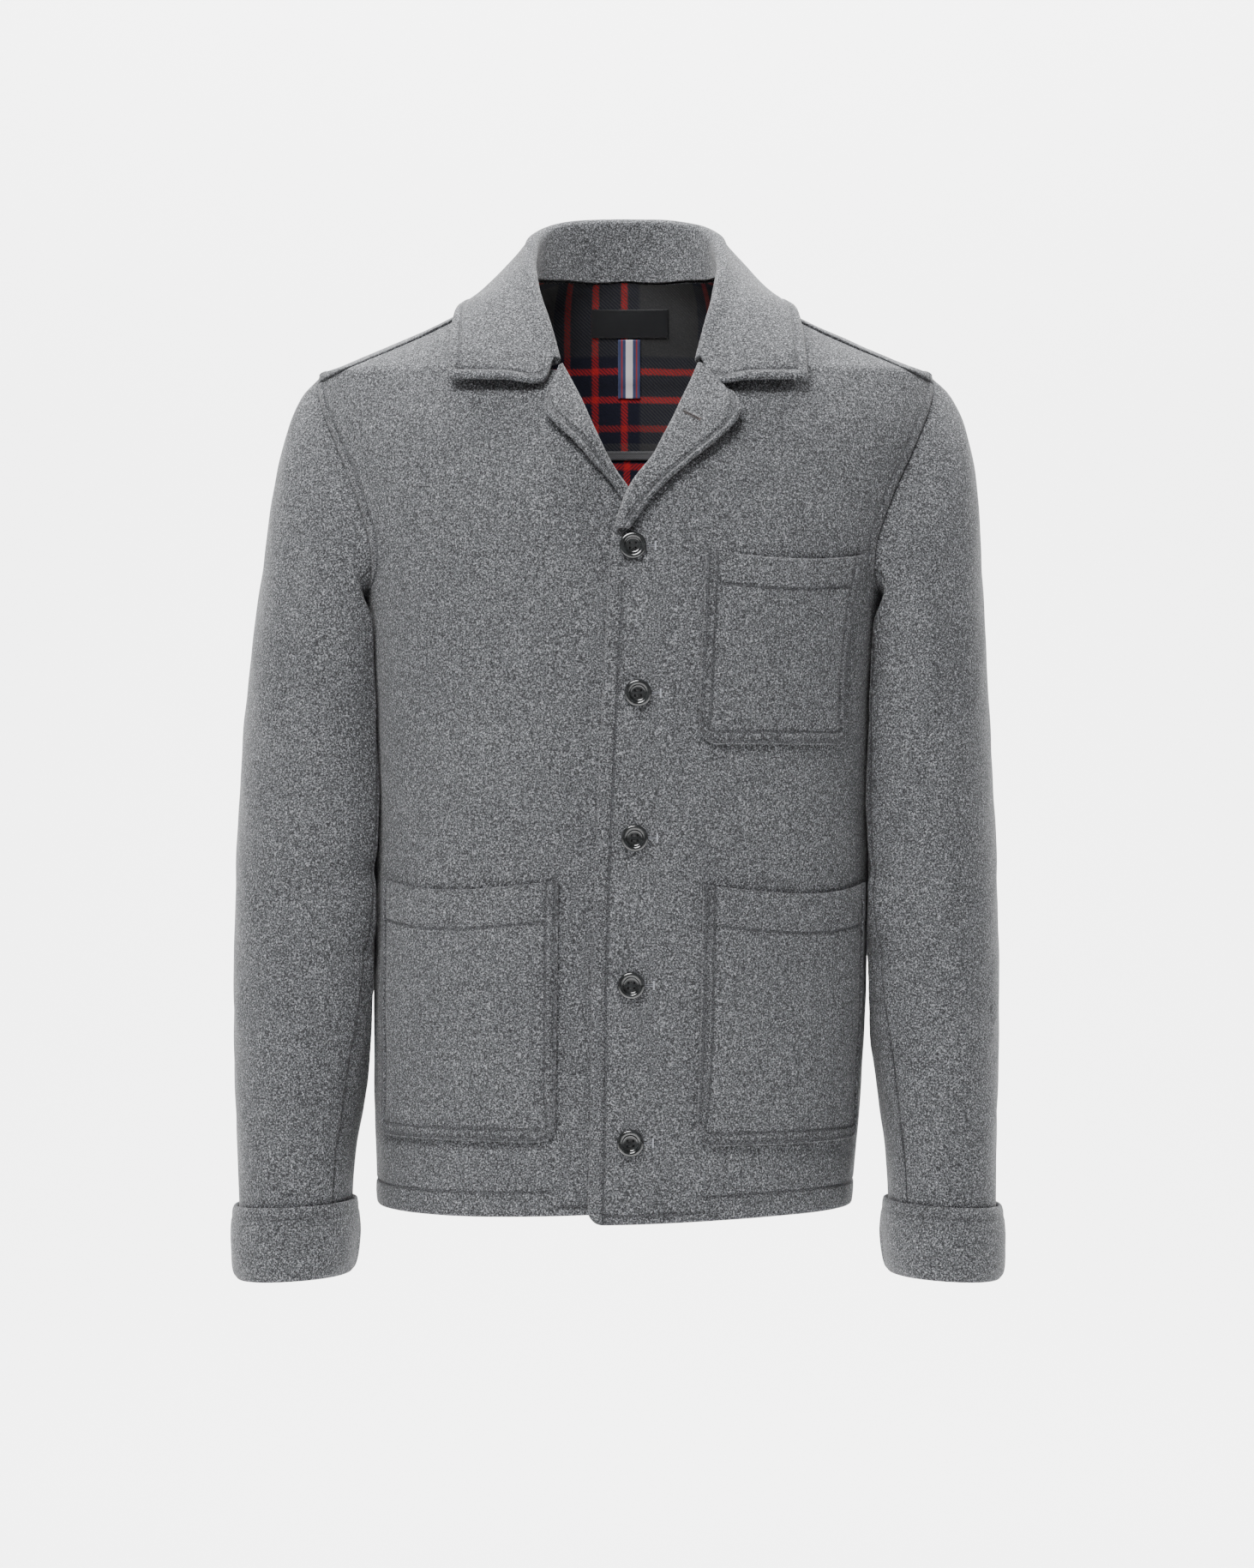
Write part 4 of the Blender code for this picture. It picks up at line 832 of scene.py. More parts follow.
def wall(panel, columns, rows, turned_edges, sewn_edges, materials, inside=None, extra=None, free=None):
    """The fine mesh of a panel. Turned edges are round on both sides, and sewn edges dip on the
    outside only. inside(edges, u, v) is true where the inner face has the first material too.
    extra(edges, u, v) is how much thicker the wall is inside, as at a hem, and free(u, v) is 0
    where a turned edge is sewn down."""
    u, v = panel.spread(columns, rows)
    high, wide = u.shape
    shape = bmesh.new()
    bmesh.ops.create_grid(shape, x_segments=wide - 1, y_segments=high - 1, size=0.5)
    inner = bmesh.ops.extrude_face_region(shape, geom=shape.faces[:])["geom"]
    inner = [item for item in inner if isinstance(item, bmesh.types.BMVert)]
    bmesh.ops.translate(shape, verts=inner, vec=(0, 0, 1))
    mesh = bpy.data.meshes.new(panel.name)
    shape.to_mesh(mesh)
    shape.free()
    corners = np.empty(len(mesh.vertices) * 3)
    mesh.vertices.foreach_get("co", corners)
    corners = corners.reshape(-1, 3)
    j = np.rint((corners[:, 0] + 0.5) * (wide - 1)).astype(int)
    i = np.rint((corners[:, 1] + 0.5) * (high - 1)).astype(int)
    within = corners[:, 2] > 0.5
    u = u[i, j]
    v = v[i, j]
    edges = panel.edges(u, v)
    outer = panel.height(edges, u, v)
    # painted shade: this mask is 1 on the stitch grooves and sewn edges, where the wool material darkens its colour to
    # stand for the shade that gathers in them
    groove_and_shade = pressed(panel.seams(edges, u, v))
    if sewn_edges:
        groove_and_shade = np.maximum(groove_and_shade, pressed(edges.nearest(sewn_edges), 0.0013))
    deep = np.full_like(u, panel.thick) + (extra(edges, u, v) if extra else 0)
    if turned_edges:
        half = (outer + deep) / 2
        cut = half * rounded(edges.nearest(turned_edges), half) * (free(u, v) if free else 1)
        outer = outer - cut * 0.97
        deep = deep - cut * 0.97
    if sewn_edges:
        outer = outer - 0.0010 * rounded(edges.nearest(sewn_edges), 0.0018)
    points = panel.at(u, v, np.where(within, -deep, outer))
    mesh.vertices.foreach_set("co", points.ravel())
    mesh.update()
    for material in materials:
        mesh.materials.append(material)
    mesh.attributes.new("groove_and_shade", "FLOAT", "POINT").data.foreach_set("value", np.where(within, 0, groove_and_shade))
    corner_of = np.empty(len(mesh.loops), int)
    mesh.loops.foreach_get("vertex_index", corner_of)
    layer = mesh.uv_layers.new(name="cloth")
    flat = np.column_stack(panel.grain(edges))
    layer.data.foreach_set("uv", flat[corner_of].ravel())
    if len(materials) > 1:
        start = np.empty(len(mesh.polygons), int)
        mesh.polygons.foreach_get("loop_start", start)
        faced = within & ~(inside(edges, u, v) if inside else np.zeros_like(within))
        four = corner_of[start[:, None] + np.arange(4)]
        mesh.polygons.foreach_set("material_index", np.all(faced[four], axis=1).astype(int))
    return settled(f"{panel.name}_cloth", mesh)


def settled(name, mesh):
    """An object from a closed mesh, its faces turned outwards."""
    shape = bmesh.new()
    shape.from_mesh(mesh)
    bmesh.ops.recalc_face_normals(shape, faces=shape.faces[:])
    if shape.calc_volume(signed=True) < 0:
        bmesh.ops.reverse_faces(shape, faces=shape.faces[:])
    shape.to_mesh(mesh)
    shape.free()
    mesh.shade_smooth()
    thing = bpy.data.objects.new(name, mesh)
    bpy.context.scene.collection.objects.link(thing)
    return thing


def fitted(thing, slot, *nodes):
    """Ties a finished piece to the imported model."""
    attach(thing, "root")
    if nodes:
        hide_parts(*nodes)
    return thing


# Sewing


def stitches(name, runs, material, pitch=0.0034, long=0.0026, thick=0.00030, slot="grey_wool"):
    """Rows of thread: each run is an array of points, and each stitch is a small grain."""
    firsts = []
    lasts = []
    for run in runs:
        step = np.linalg.norm(np.diff(run, axis=0), axis=1)
        along = np.concatenate([[0], np.cumsum(step)])
        count = max(int(along[-1] / pitch), 1)
        starts = (np.arange(count) + 0.5) * along[-1] / count - long / 2
        firsts.append(np.column_stack([np.interp(starts, along, run[:, k]) for k in range(3)]))
        lasts.append(np.column_stack([np.interp(starts + long, along, run[:, k]) for k in range(3)]))
    return grains(name, np.vstack(firsts), np.vstack(lasts), thick, material, slot)


def repeated(name, shape, count):
    """A mesh of this many copies of a shape, one after another."""
    total = bmesh.new()
    block = bpy.data.meshes.new(name)
    shape.to_mesh(block)
    shape.free()
    while count:
        if count & 1:
            total.from_mesh(block)
        count >>= 1
        twice = bmesh.new()
        twice.from_mesh(block)
        twice.from_mesh(block)
        twice.to_mesh(block)
        twice.free()
    total.to_mesh(block)
    total.free()
    return block


def grains(name, firsts, lasts, thick, material, slot):
    """One small long grain from each first point to its last point, all in one object."""
    firsts = np.array(firsts)
    lasts = np.array(lasts)
    count = len(firsts)
    shape = bmesh.new()
    bmesh.ops.create_uvsphere(shape, u_segments=6, v_segments=5, radius=1)
    corners = len(shape.verts)
    mesh = repeated(name, shape, count)
    ball = np.empty(len(mesh.vertices) * 3)
    mesh.vertices.foreach_get("co", ball)
    ball = ball.reshape(count, corners, 3)
    way = lasts - firsts
    long = np.linalg.norm(way, axis=1)[:, None]
    way = way / long
    aside = unit(np.cross(way, np.where(np.abs(way[:, 1:2]) > 0.9, (1.0, 0, 0), (0, 1.0, 0))))
    up = np.cross(way, aside)
    frame_of = np.stack([aside * thick, up * thick, way * (long / 2 + thick / 2)], axis=1)
    points = np.einsum("kij,kjl->kil", ball, frame_of) + ((firsts + lasts) / 2)[:, None]
    mesh.vertices.foreach_set("co", points.ravel())
    mesh.update()
    mesh.materials.append(material)
    mesh.shade_smooth()
    thing = bpy.data.objects.new(name, mesh)
    bpy.context.scene.collection.objects.link(thing)
    return fitted(thing, slot)


def row_beside(panel, edge, place, start=0.0, stop=1.0, out=0.0, points=160):
    """Points on the outside of a panel at this distance from an edge, from start to stop."""
    t = np.linspace(start, stop, points)
    u = []
    v = []
    for share in t:
        if edge in ("left", "right"):
            lengths = panel.along_row(share)
            far = place(share) if callable(place) else place
            far = far if edge == "left" else lengths[-1] - far
            u.append(np.interp(far, lengths, panel.grid))
            v.append(share)
        else:
            lengths = panel.along_column(share)
            far = place(share) if callable(place) else place
            far = far if edge == "low" else lengths[-1] - far
            u.append(share)
            v.append(np.interp(far, lengths, panel.grid))
    return panel.top(np.array(u), np.array(v), out)


# The pieces

YOKE_GRAIN = -0.1085  # where the check's repeat lies at the seam, on the yoke
BACK_GRAIN = -0.0320  # and on the back below it
STITCH_LIFT = 0.00012


def panel_skin(angle, height, depth, turn, weight, out=0.0):
    """A wall on the body form, whose thickness leans towards the sleeve near the armhole."""
    outer = body(angle, height, out)
    inner = body(angle, height, out - WALL)
    lean = seam_way(turn)
    lean[:, 0] *= np.sign(outer[:, 0])
    inner = inner + (outer - lean * WALL - inner) * weight[:, None]
    return outer + (inner - outer) * depth[:, None]


def beside_armhole(v, under, near):
    """How much the thickness leans: near is 1 at the armhole and 0 away from it."""
    return near * eased(v, under - 0.03, under)


ARM_STITCH = 0.0085
EDGE_STITCH = 0.0110
SIDE_STITCH = 0.0085
HEM_STITCH = 0.0180
HEM_STITCH_FRONT = 0.0068
FACING = 0.082


def banked(far, place, height=0.0013):
    """Seam allowances turned under an edge, which end at the row of stitches at place."""
    return height * (1 - eased(far, place - 0.002, place + 0.003))


def arm_ridge(far, v, under):
    """Seam allowances pressed to the body and topstitched beside the armhole."""
    return eased(v, under - 0.01, under + 0.03) * banked(far, ARM_STITCH)


def nearest_row(*rows):
    """Distance to the nearest of some rows of stitches, each (distance, where it is sewn)."""
    return np.min([np.where(sewn, np.abs(far), 1.0) for far, sewn in rows], axis=0)


def hem_place(far_left):
    """Distance of the hem's stitches from its edge: closer in front of the facing's end."""
    return np.where(far_left < FACING, HEM_STITCH_FRONT, HEM_STITCH)


def front_panel(name, side, edge, lapel):
    spread = patch(*front_edges(side, edge, lapel))

    def place(u, v, depth):
        angle, height = spread(u, v).T
        turn = side_turn(v, TIP_TURN, UNDER)
        turn = np.where(np.isnan(turn), 180.0, turn)
        weight = beside_armhole(v, UNDER, eased(u, 0.93, 1.0))
        out = np.zeros_like(u)
        if side < 0:
            out = sink(body_skin(-angle, height)[:, 0], height)
        return panel_skin(side * angle, height, depth, turn, weight, out)

    def relief(edges, u, v):
        opening = 1 - eased(v, BELOW_LAPEL - 0.03, BELOW_LAPEL - 0.005)
        out = opening * ridge(edges.left, EDGE_STITCH, 0.0011)
        past = eased(edges.left, EDGE_STITCH, EDGE_STITCH + 0.004)
        out += past * ridge(edges.low, hem_place(edges.left), 0.0008)
        out += arm_ridge(edges.right, v, UNDER)
        return out + uneven(edges.left, edges.low) * eased(edges.right, 0, 0.02)

    def seams(edges, u, v):
        return nearest_row(
            (edges.left - EDGE_STITCH, v < BELOW_LAPEL - 0.015),
            (edges.low - hem_place(edges.left), edges.left > EDGE_STITCH),
            (edges.right - ARM_STITCH, v > UNDER + 0.015),
        )

    return Panel(name, place, WALL, relief, seams)


def corner_lift(panel, radius=0.012):
    """Rounds the lower front corner of a panel."""
    place = panel.place

    def lifted(u, v, depth):
        points = place(u, v, depth)
        far = panel.lookup(panel.across, u, v)
        low = np.clip(1 - far / radius, 0, 1)
        points[:, 2] += (1 - np.sqrt(1 - low**2)) * radius * (1 - eased(v, 0.0, 0.06))
        return points

    panel.place = lifted


def back_panel():
    def left(v):
        return np.column_stack(side_edge(v, YOKE_TURN, BACK_UNDER))

    def right(v):
        angle, height = side_edge(v, YOKE_TURN, BACK_UNDER)
        return np.column_stack([360 - angle, height])

    def bottom(u):
        share = yoke_line(u)[0] / yoke_line(np.array([1.0]))[0]
        return np.column_stack([180 + 90 * share, np.full_like(u, HEM)])

    def top(u):
        x, over = yoke_line(u)
        angle, height = over_shoulder(-x, over)
        return np.column_stack([angle % 360, height])

    spread = patch(left, right, bottom, top)

    def place(u, v, depth):
        angle, height = spread(u, v).T
        turn = side_turn(v, YOKE_TURN, BACK_UNDER)
        turn = np.where(np.isnan(turn), 180.0, turn)
        near = eased(np.abs(2 * u - 1), 0.93, 1.0)
        return panel_skin(angle, height, depth, turn, beside_armhole(v, BACK_UNDER, near))

    def relief(edges, u, v):
        side = np.minimum(edges.left, edges.right)
        out = ridge(edges.low, HEM_STITCH, 0.0008) + arm_ridge(side, v, BACK_UNDER)
        return out + uneven(edges.left, edges.low) * eased(side, 0, 0.02)

    def seams(edges, u, v):
        side = np.minimum(edges.left, edges.right)
        return nearest_row((edges.low - HEM_STITCH, True), (side - ARM_STITCH, v > BACK_UNDER + 0.015))

    def grain(edges):
        return (edges.left - edges.right) / 2, BACK_GRAIN - edges.high

    return Panel("back", place, WALL, relief, seams, grain)


def yoke_panel():
    neck = NECK_COLUMNS / (NECK_COLUMNS + FRONT_COLUMNS)

    def arm(v):
        angle, height = armhole_at((YOKE_TURN + (360 + TIP_TURN - YOKE_TURN) * v) % 360).T
        x = body_skin(angle, height)[:, 0]
        return x, drop_over(x, height, angle > 90)

    def left(v):
        x, over = arm(v)
        return np.column_stack([-x, over])

    def right(v):
        return np.column_stack(arm(v))

    def bottom(u):
        return np.column_stack(yoke_line(u))

    def top(u):
        share = np.abs(2 * u - 1)
        neck_x, neck_over = neck_at(0.6 * np.clip(share / neck, 0, 1)).T
        x = NECK_X + (TIP_X - NECK_X) * np.clip((share - neck) / (1 - neck), 0, 1)
        over = np.where(share < neck, neck_over, seam_over(x))
        return np.column_stack([np.sign(2 * u - 1) * np.where(share < neck, neck_x, x), over])

    spread = patch(left, right, bottom, top)

    def place(u, v, depth):
        x, over = spread(u, v).T
        angle, height = over_shoulder(x, over)
        turn = (YOKE_TURN + (360 + TIP_TURN - YOKE_TURN) * v) % 360
        weight = eased(np.abs(2 * u - 1), 0.95, 1.0)
        return panel_skin(angle, height, depth, turn, weight)

    def relief(edges, u, v):
        side = np.minimum(edges.left, edges.right)
        shoulder = eased(np.abs(2 * u - 1), neck, neck + 0.03)
        banks = (banked(edges.low, SIDE_STITCH), shoulder * banked(edges.high, SIDE_STITCH), banked(side, ARM_STITCH))
        return np.max(banks, axis=0) + uneven(edges.left, edges.low) * eased(side, 0, 0.02)

    def seams(edges, u, v):
        side = np.minimum(edges.left, edges.right)
        return nearest_row(
            (edges.low - SIDE_STITCH, True),
            (edges.high - SIDE_STITCH, np.abs(2 * u - 1) > neck),
            (side - ARM_STITCH, True),
        )

    def grain(edges):
        return (edges.left - edges.right) / 2, YOKE_GRAIN + edges.low

    return Panel("back_yoke", place, WALL, relief, seams, grain)


def sleeve_panel(name, form, low, high):
    def place(u, v, depth):
        turn = low + (high - low) * u
        share = v * SLEEVE_END
        outer = form(turn, share)
        inner = form(turn, share, np.full_like(share, -WALL))
        lean = seam_way(turn)
        lean[:, 0] *= np.sign(outer[:, 0])
        weight = 1 - eased(share, 0.0, 0.03)
        inner = inner + (outer - lean * WALL - inner) * weight[:, None]
        return outer + (inner - outer) * depth[:, None]

    def relief(edges, u, v):
        return uneven(edges.left, edges.low, 0.0004) * eased(edges.low, 0, 0.02)

    return Panel(name, place, WALL, relief)


def lapel_panel(name, side, lapel, pinch):
    carry = lapel_place(side, lapel, pinch)

    def place(u, v, depth):
        return carry(0.01 + 0.99 * u, v, depth)

    def relief(edges, u, v):
        edge = np.where(u > 0.45, edges.right, 1.0)
        return ridge(edge, 0.0048, 0.0007) + uneven(edges.left, edges.low, 0.0002)

    def seams(edges, u, v):
        return nearest_row((edges.right - 0.0048, u > 0.45), (edges.right - 0.0074, u > 0.45))

    return Panel(name, place, DOUBLE, relief, seams)


COLLAR_STITCH = 0.0078


def collar_panel():
    def place(u, v, depth):
        at = 2 * u - 1
        normal = outward(collar_skin, np.clip(at, -0.975, 0.975), v, 0.01, 0.01)
        return collar_skin(at, v) + normal * (DOUBLE * (0.5 - depth))[:, None]

    def relief(edges, u, v):
        leaf = eased(v, 0.44, 0.50)
        side = np.where(v > 0.44, np.minimum(edges.left, edges.right), 1.0)
        edge = np.minimum(edges.high, side)
        return leaf * ridge(edge, COLLAR_STITCH, 0.0008) + uneven(edges.left, edges.low, 0.0003)

    def seams(edges, u, v):
        side = np.minimum(edges.left, edges.right)
        within = (edges.high > COLLAR_STITCH - 0.001) & (v > 0.55)
        return nearest_row(
            (edges.high - COLLAR_STITCH, side > COLLAR_STITCH - 0.001),
            (side - COLLAR_STITCH, within),
        )

    return Panel("collar", place, DOUBLE, relief, seams)


def pocket_panel(name, side, corner, width, height, puff, sag, hem):
    inner_x, top = corner
    start = own_angle(side, inner_x, np.array([top]))[0]
    stop = start + np.degrees(width / 0.172)

    def place(u, v, depth):
        angle = start + (stop - start) * u
        rise = top - height * (1 - v) - sag * v * np.sin(u * pi)
        near_side = np.minimum(u, 1 - u) * width
        low = np.clip(1 - near_side / 0.012, 0, 1)
        rise = rise + (1 - np.sqrt(1 - low**2)) * 0.012 * (1 - v) ** 6
        swell = puff * (np.sin(pi * u) * np.sin(pi * np.clip(v * 0.9 + 0.05, 0, 1))) ** 0.7
        return body(side * angle, rise, 0.0004 + WALL * (1 - depth) + swell)

    def relief(edges, u, v):
        edge = np.minimum(np.minimum(edges.left, edges.right), edges.low)
        out = ridge(edge, POCKET_STITCH, 0.0012)
        out += 0.0009 * (1 - eased(edges.high, hem - 0.003, hem + 0.002))
        return out + uneven(edges.left, edges.low, 0.0003)

    def seams(edges, u, v):
        edge = np.minimum(np.minimum(edges.left, edges.right), edges.low)
        return nearest_row(
            (edge - POCKET_STITCH, True),
            (edge - POCKET_EDGE, True),
            (edges.high - hem, edge > POCKET_STITCH),
        )

    return Panel(name, place, WALL, relief, seams)


POCKET_STITCH = 0.0092
POCKET_EDGE = 0.0022


def make_cuff(name, form, material):
    """The turned-back end of a sleeve: its section is spun, then carried round the sleeve."""
    top = 0.912
    outline = np.array((
        # how far outside the sleeve (m), share of the sleeve's length
        (0.0012, top + 0.004),
        (0.0020, top),
        (0.0042, top + 0.002),
        (0.0062, top + 0.018),
        (0.0070, top + 0.044),
        (0.0062, top + 0.070),
        (0.0036, top + 0.085),
        (0.0008, top + 0.088),
        (-0.0020, top + 0.081),
        (-0.0027, SLEEVE_END + 0.0006),
        (0.0002, SLEEVE_END + 0.0006),
        (0.0024, top + 0.056),
        (0.0034, top + 0.042),
        (0.0032, top + 0.022),
        (0.0018, top + 0.010),
    ))
    fine = []
    for i in range(len(outline)):
        before, start, stop, after = (outline[(i + k) % len(outline)] for k in (-1, 0, 1, 2))
        for t in np.arange(5) / 5:
            bend = start + (stop - before) / 2 * t
            fine.append(
                start * (1 + 2 * t) * (1 - t) ** 2
                + stop * t * t * (3 - 2 * t)
                + (stop - before) / 2 * t * (1 - t) ** 2
                - (after - start) / 2 * t * t * (1 - t)
            )
    base = 0.1
    shape = bmesh.new()
    corners = [shape.verts.new((base + out, 0, share)) for out, share in fine]
    edges = [shape.edges.new((a, b)) for a, b in zip(corners, corners[1:] + corners[:1])]
    bmesh.ops.spin(
        shape, geom=corners + edges, cent=(0, 0, 0), axis=(0, 0, 1),
        angle=2 * pi, steps=120, use_merge=True, use_duplicate=False,
    )
    bmesh.ops.remove_doubles(shape, verts=shape.verts[:], dist=1e-6)
    places = np.array([corner.co for corner in shape.verts])
    turn = np.degrees(np.arctan2(places[:, 1], places[:, 0]))
    out = np.hypot(places[:, 0], places[:, 1]) - base
    share = places[:, 2]
    outside = eased(out, 0.0030, 0.0045)
    # this mask presses the groove below the cuff's top edge into the cloth, and the wool material also uses it to
    # paint shade into that groove
    groove_and_shade = outside * pressed(share - top - 0.0125, 0.0020)
    out = out - GROOVE * groove_and_shade
    out += outside * uneven(np.radians(turn) * 0.06, share * 0.7, 0.0006)
    for corner, point in zip(shape.verts, form(turn, share, out)):
        corner.co = point
    mesh = bpy.data.meshes.new(name)
    shape.to_mesh(mesh)
    shape.free()
    mesh.attributes.new("groove_and_shade", "FLOAT", "POINT").data.foreach_set("value", groove_and_shade)
    mesh.materials.append(material)
    return fitted(settled(f"{name}_cloth", mesh), "grey_wool", name)


# Materials


class Nodes:
    """A material's node tree, built a node at a time."""

    def __init__(self, name):
        self.material = bpy.data.materials.new(name)
        self.material.use_nodes = True
        self.tree = self.material.node_tree
        self.shader = self.tree.nodes["Principled BSDF"]

    def add(self, kind, settings=(), **inputs):
        node = self.tree.nodes.new(kind)
        for key, value in dict(settings).items():
            setattr(node, key, value)
        for key, value in inputs.items():
            socket = node.inputs[int(key[1:])] if key[0] == "i" and key[1:].isdigit() else node.inputs[key]
            if isinstance(value, bpy.types.NodeSocket):
                self.tree.links.new(value, socket)
            else:
                socket.default_value = value
        return node

    def link(self, start, stop):
        self.tree.links.new(start, self.shader.inputs[stop] if isinstance(stop, str) else stop)

    def ramp(self, factor, stops, blend="LINEAR"):
        node = self.tree.nodes.new("ShaderNodeValToRGB")
        node.color_ramp.interpolation = blend
        while len(node.color_ramp.elements) < len(stops):
            node.color_ramp.elements.new(0.5)
        for element, (place, colour) in zip(node.color_ramp.elements, stops):
            element.position = place
            element.color = (*colour, 1)
        self.tree.links.new(factor, node.inputs["Fac"])
        return node.outputs["Color"]

    def mix(self, factor, first, second, blend="MIX"):
        node = self.tree.nodes.new("ShaderNodeMix")
        node.data_type = "RGBA"
        node.blend_type = blend
        for socket, value in ((node.inputs[0], factor), (node.inputs[6], first), (node.inputs[7], second)):
            if isinstance(value, bpy.types.NodeSocket):
                self.tree.links.new(value, socket)
            elif isinstance(value, float):
                socket.default_value = value
            else:
                socket.default_value = (*value, 1)
        return node.outputs[2]

    def maths(self, how, first, second=0.0, third=0.0):
        node = self.tree.nodes.new("ShaderNodeMath")
        node.operation = how
        for socket, value in zip(node.inputs, (first, second, third)):
            if isinstance(value, bpy.types.NodeSocket):
                self.tree.links.new(value, socket)
            else:
                socket.default_value = value
        return node.outputs[0]

    def noise(self, where, scale, detail=2.0, rough=0.6):
        node = self.tree.nodes.new("ShaderNodeTexNoise")
        node.inputs["Scale"].default_value = scale
        node.inputs["Detail"].default_value = detail
        node.inputs["Roughness"].default_value = rough
        self.tree.links.new(where, node.inputs["Vector"])
        return node.outputs["Fac"]

    def bump(self, height, strength, distance):
        node = self.tree.nodes.new("ShaderNodeBump")
        node.inputs["Strength"].default_value = strength
        node.inputs["Distance"].default_value = distance
        self.tree.links.new(height, node.inputs["Height"])
        self.tree.links.new(node.outputs["Normal"], self.shader.inputs["Normal"])

    def set(self, **values):
        for key, value in values.items():
            self.shader.inputs[key.replace("_", " ")].default_value = value

    def place(self, kind="Object"):
        return self.tree.nodes.new("ShaderNodeTexCoord").outputs[kind]


def heather_wool(name="grey_wool_melton"):
    """Brushed wool of mixed dark, mid and pale fibres."""
    n = Nodes(name)
    where = n.place()
    flecks = n.noise(where, 880.0, 3.0, 0.75)
    colour = n.ramp(flecks, (
        (0.30, (0.0068, 0.0070, 0.0074)),
        (0.43, (0.0235, 0.0240, 0.0253)),
        (0.51, (0.0570, 0.0585, 0.0615)),
        (0.59, (0.1360, 0.1390, 0.1460)),
        (0.70, (0.3750, 0.3830, 0.4020)),
    ))
    tufts = n.noise(where, 210.0, 2.0, 0.6)
    colour = n.mix(0.22, colour, n.ramp(tufts, ((0.35, (0.35, 0.35, 0.36)), (0.65, (0.72, 0.72, 0.73)))), "OVERLAY")
    clouds = n.noise(where, 14.0, 2.0, 0.5)
    colour = n.mix(0.25, colour, n.ramp(clouds, ((0.35, (0.40, 0.40, 0.41)), (0.65, (0.60, 0.60, 0.60)))), "OVERLAY")
    # painted shade: the colour is mixed towards near black where the mesh's groove mask is high, standing for shade in
    # the stitch grooves and sewn edges
    groove_and_shade = n.tree.nodes.new("ShaderNodeAttribute")
    groove_and_shade.attribute_name = "groove_and_shade"
    colour = n.mix(n.maths("MULTIPLY", groove_and_shade.outputs["Fac"], 0.60), colour, (0.010, 0.010, 0.011))
    n.link(colour, "Base Color")
    nap = n.noise(where, 900.0, 3.0, 0.8)
    n.bump(n.maths("ADD", n.maths("MULTIPLY", nap, 0.6), n.maths("MULTIPLY", tufts, 0.8)), 0.55, 0.0006)
    n.set(Roughness=0.95, Sheen_Weight=0.10, Sheen_Roughness=0.45, Specular_IOR_Level=0.15)
    return n.material


def check_wool(name="check_wool_inside"):
    """The cloth's inner face: red lines in threes on navy and charcoal, in a twill."""
    n = Nodes(name)
    where = n.place("UV")
    soft = n.noise(where, 500.0, 2.0, 0.7)
    split = n.tree.nodes.new("ShaderNodeSeparateXYZ")
    n.tree.links.new(where, split.inputs[0])
    navy = (0.0065, 0.0072, 0.0160)
    charcoal = (0.030, 0.030, 0.031)
    red = (0.330, 0.012, 0.014)
    dull_red = (0.200, 0.012, 0.013)

    def lines(along, start, repeat):
        shift = n.maths("MULTIPLY", n.maths("SUBTRACT", soft, 0.5), 0.0030)
        place = n.maths("DIVIDE", n.maths("SUBTRACT", n.maths("ADD", along, shift), start), repeat)
        stops = [(0.0, navy)]
        for middle, colour in zip(LINES, (dull_red, red, red)):
            stops.append(((middle - 0.0031) / repeat, navy))
            stops.append(((middle - 0.0020) / repeat, colour))
            stops.append(((middle + 0.0020) / repeat, colour))
            stops.append(((middle + 0.0031) / repeat, navy))
        stops += [((LINES[2] + 0.0110) / repeat, navy), ((LINES[2] + 0.0135) / repeat, charcoal)]
        return n.ramp(n.maths("FRACT", place), stops)

    across = lines(split.outputs["X"], -0.0589, 0.118)
    upward = lines(split.outputs["Y"], -0.0981, 0.138)
    slope = n.maths("DIVIDE", n.maths("ADD", split.outputs["X"], split.outputs["Y"]), 0.0030)
    twill = n.maths("PINGPONG", slope, 0.5)
    twill = n.maths("MULTIPLY_ADD", twill, 1.6, 0.10)
    colour = n.mix(twill, across, upward)
    fuzz = n.noise(where, 900.0, 2.0, 0.7)
    colour = n.mix(0.45, colour, n.ramp(fuzz, ((0.3, (0.25, 0.25, 0.25)), (0.7, (0.80, 0.80, 0.80)))), "OVERLAY")
    n.link(colour, "Base Color")
    n.bump(n.maths("ADD", fuzz, twill), 0.4, 0.0005)
    n.set(Roughness=0.95, Sheen_Weight=0.15, Sheen_Roughness=0.5, Specular_IOR_Level=0.1)
    return n.material


LINES = (0.0118, 0.0348, 0.0578)  # middles of the three red lines in each repeat of the check


def thread(name, colour, roughness=0.6):
    n = Nodes(name)
    ply = n.noise(n.place(), 2200.0, 1.0, 0.5)
    dark = tuple(c * 0.65 for c in colour)
    n.link(n.ramp(ply, ((0.35, dark), (0.65, colour))), "Base Color")
    n.set(Roughness=roughness)
    return n.material


def horn(name="polished_dark_horn"):
    """Near-black polished buttons with faint streaks."""
    n = Nodes(name)
    where = n.place()
    streaks = n.noise(where, 160.0, 4.0, 0.7)
    n.link(n.ramp(streaks, ((0.40, (0.0055, 0.0060, 0.0062)), (0.70, (0.024, 0.026, 0.027)))), "Base Color")
    fine = n.noise(where, 900.0, 2.0, 0.5)
    n.bump(fine, 0.05, 0.0002)
    n.set(Roughness=0.16, Coat_Weight=0.6, Coat_Roughness=0.06, Specular_IOR_Level=0.55)
    return n.material


def label_satin(name="black_label_satin"):
    n = Nodes(name)
    where = n.place("UV")
    ribs = n.tree.nodes.new("ShaderNodeTexWave")
    ribs.bands_direction = "Y"
    ribs.inputs["Scale"].default_value = 900.0
    ribs.inputs["Distortion"].default_value = 0.3
    n.tree.links.new(where, ribs.inputs["Vector"])
    n.link(n.ramp(ribs.outputs["Fac"], ((0.2, (0.0035, 0.0038, 0.0050)), (0.8, (0.0095, 0.0100, 0.0125)))), "Base Color")
    n.bump(ribs.outputs["Fac"], 0.2, 0.0002)
    n.set(Roughness=0.42, Sheen_Weight=0.1, Sheen_Roughness=0.4)
    return n.material


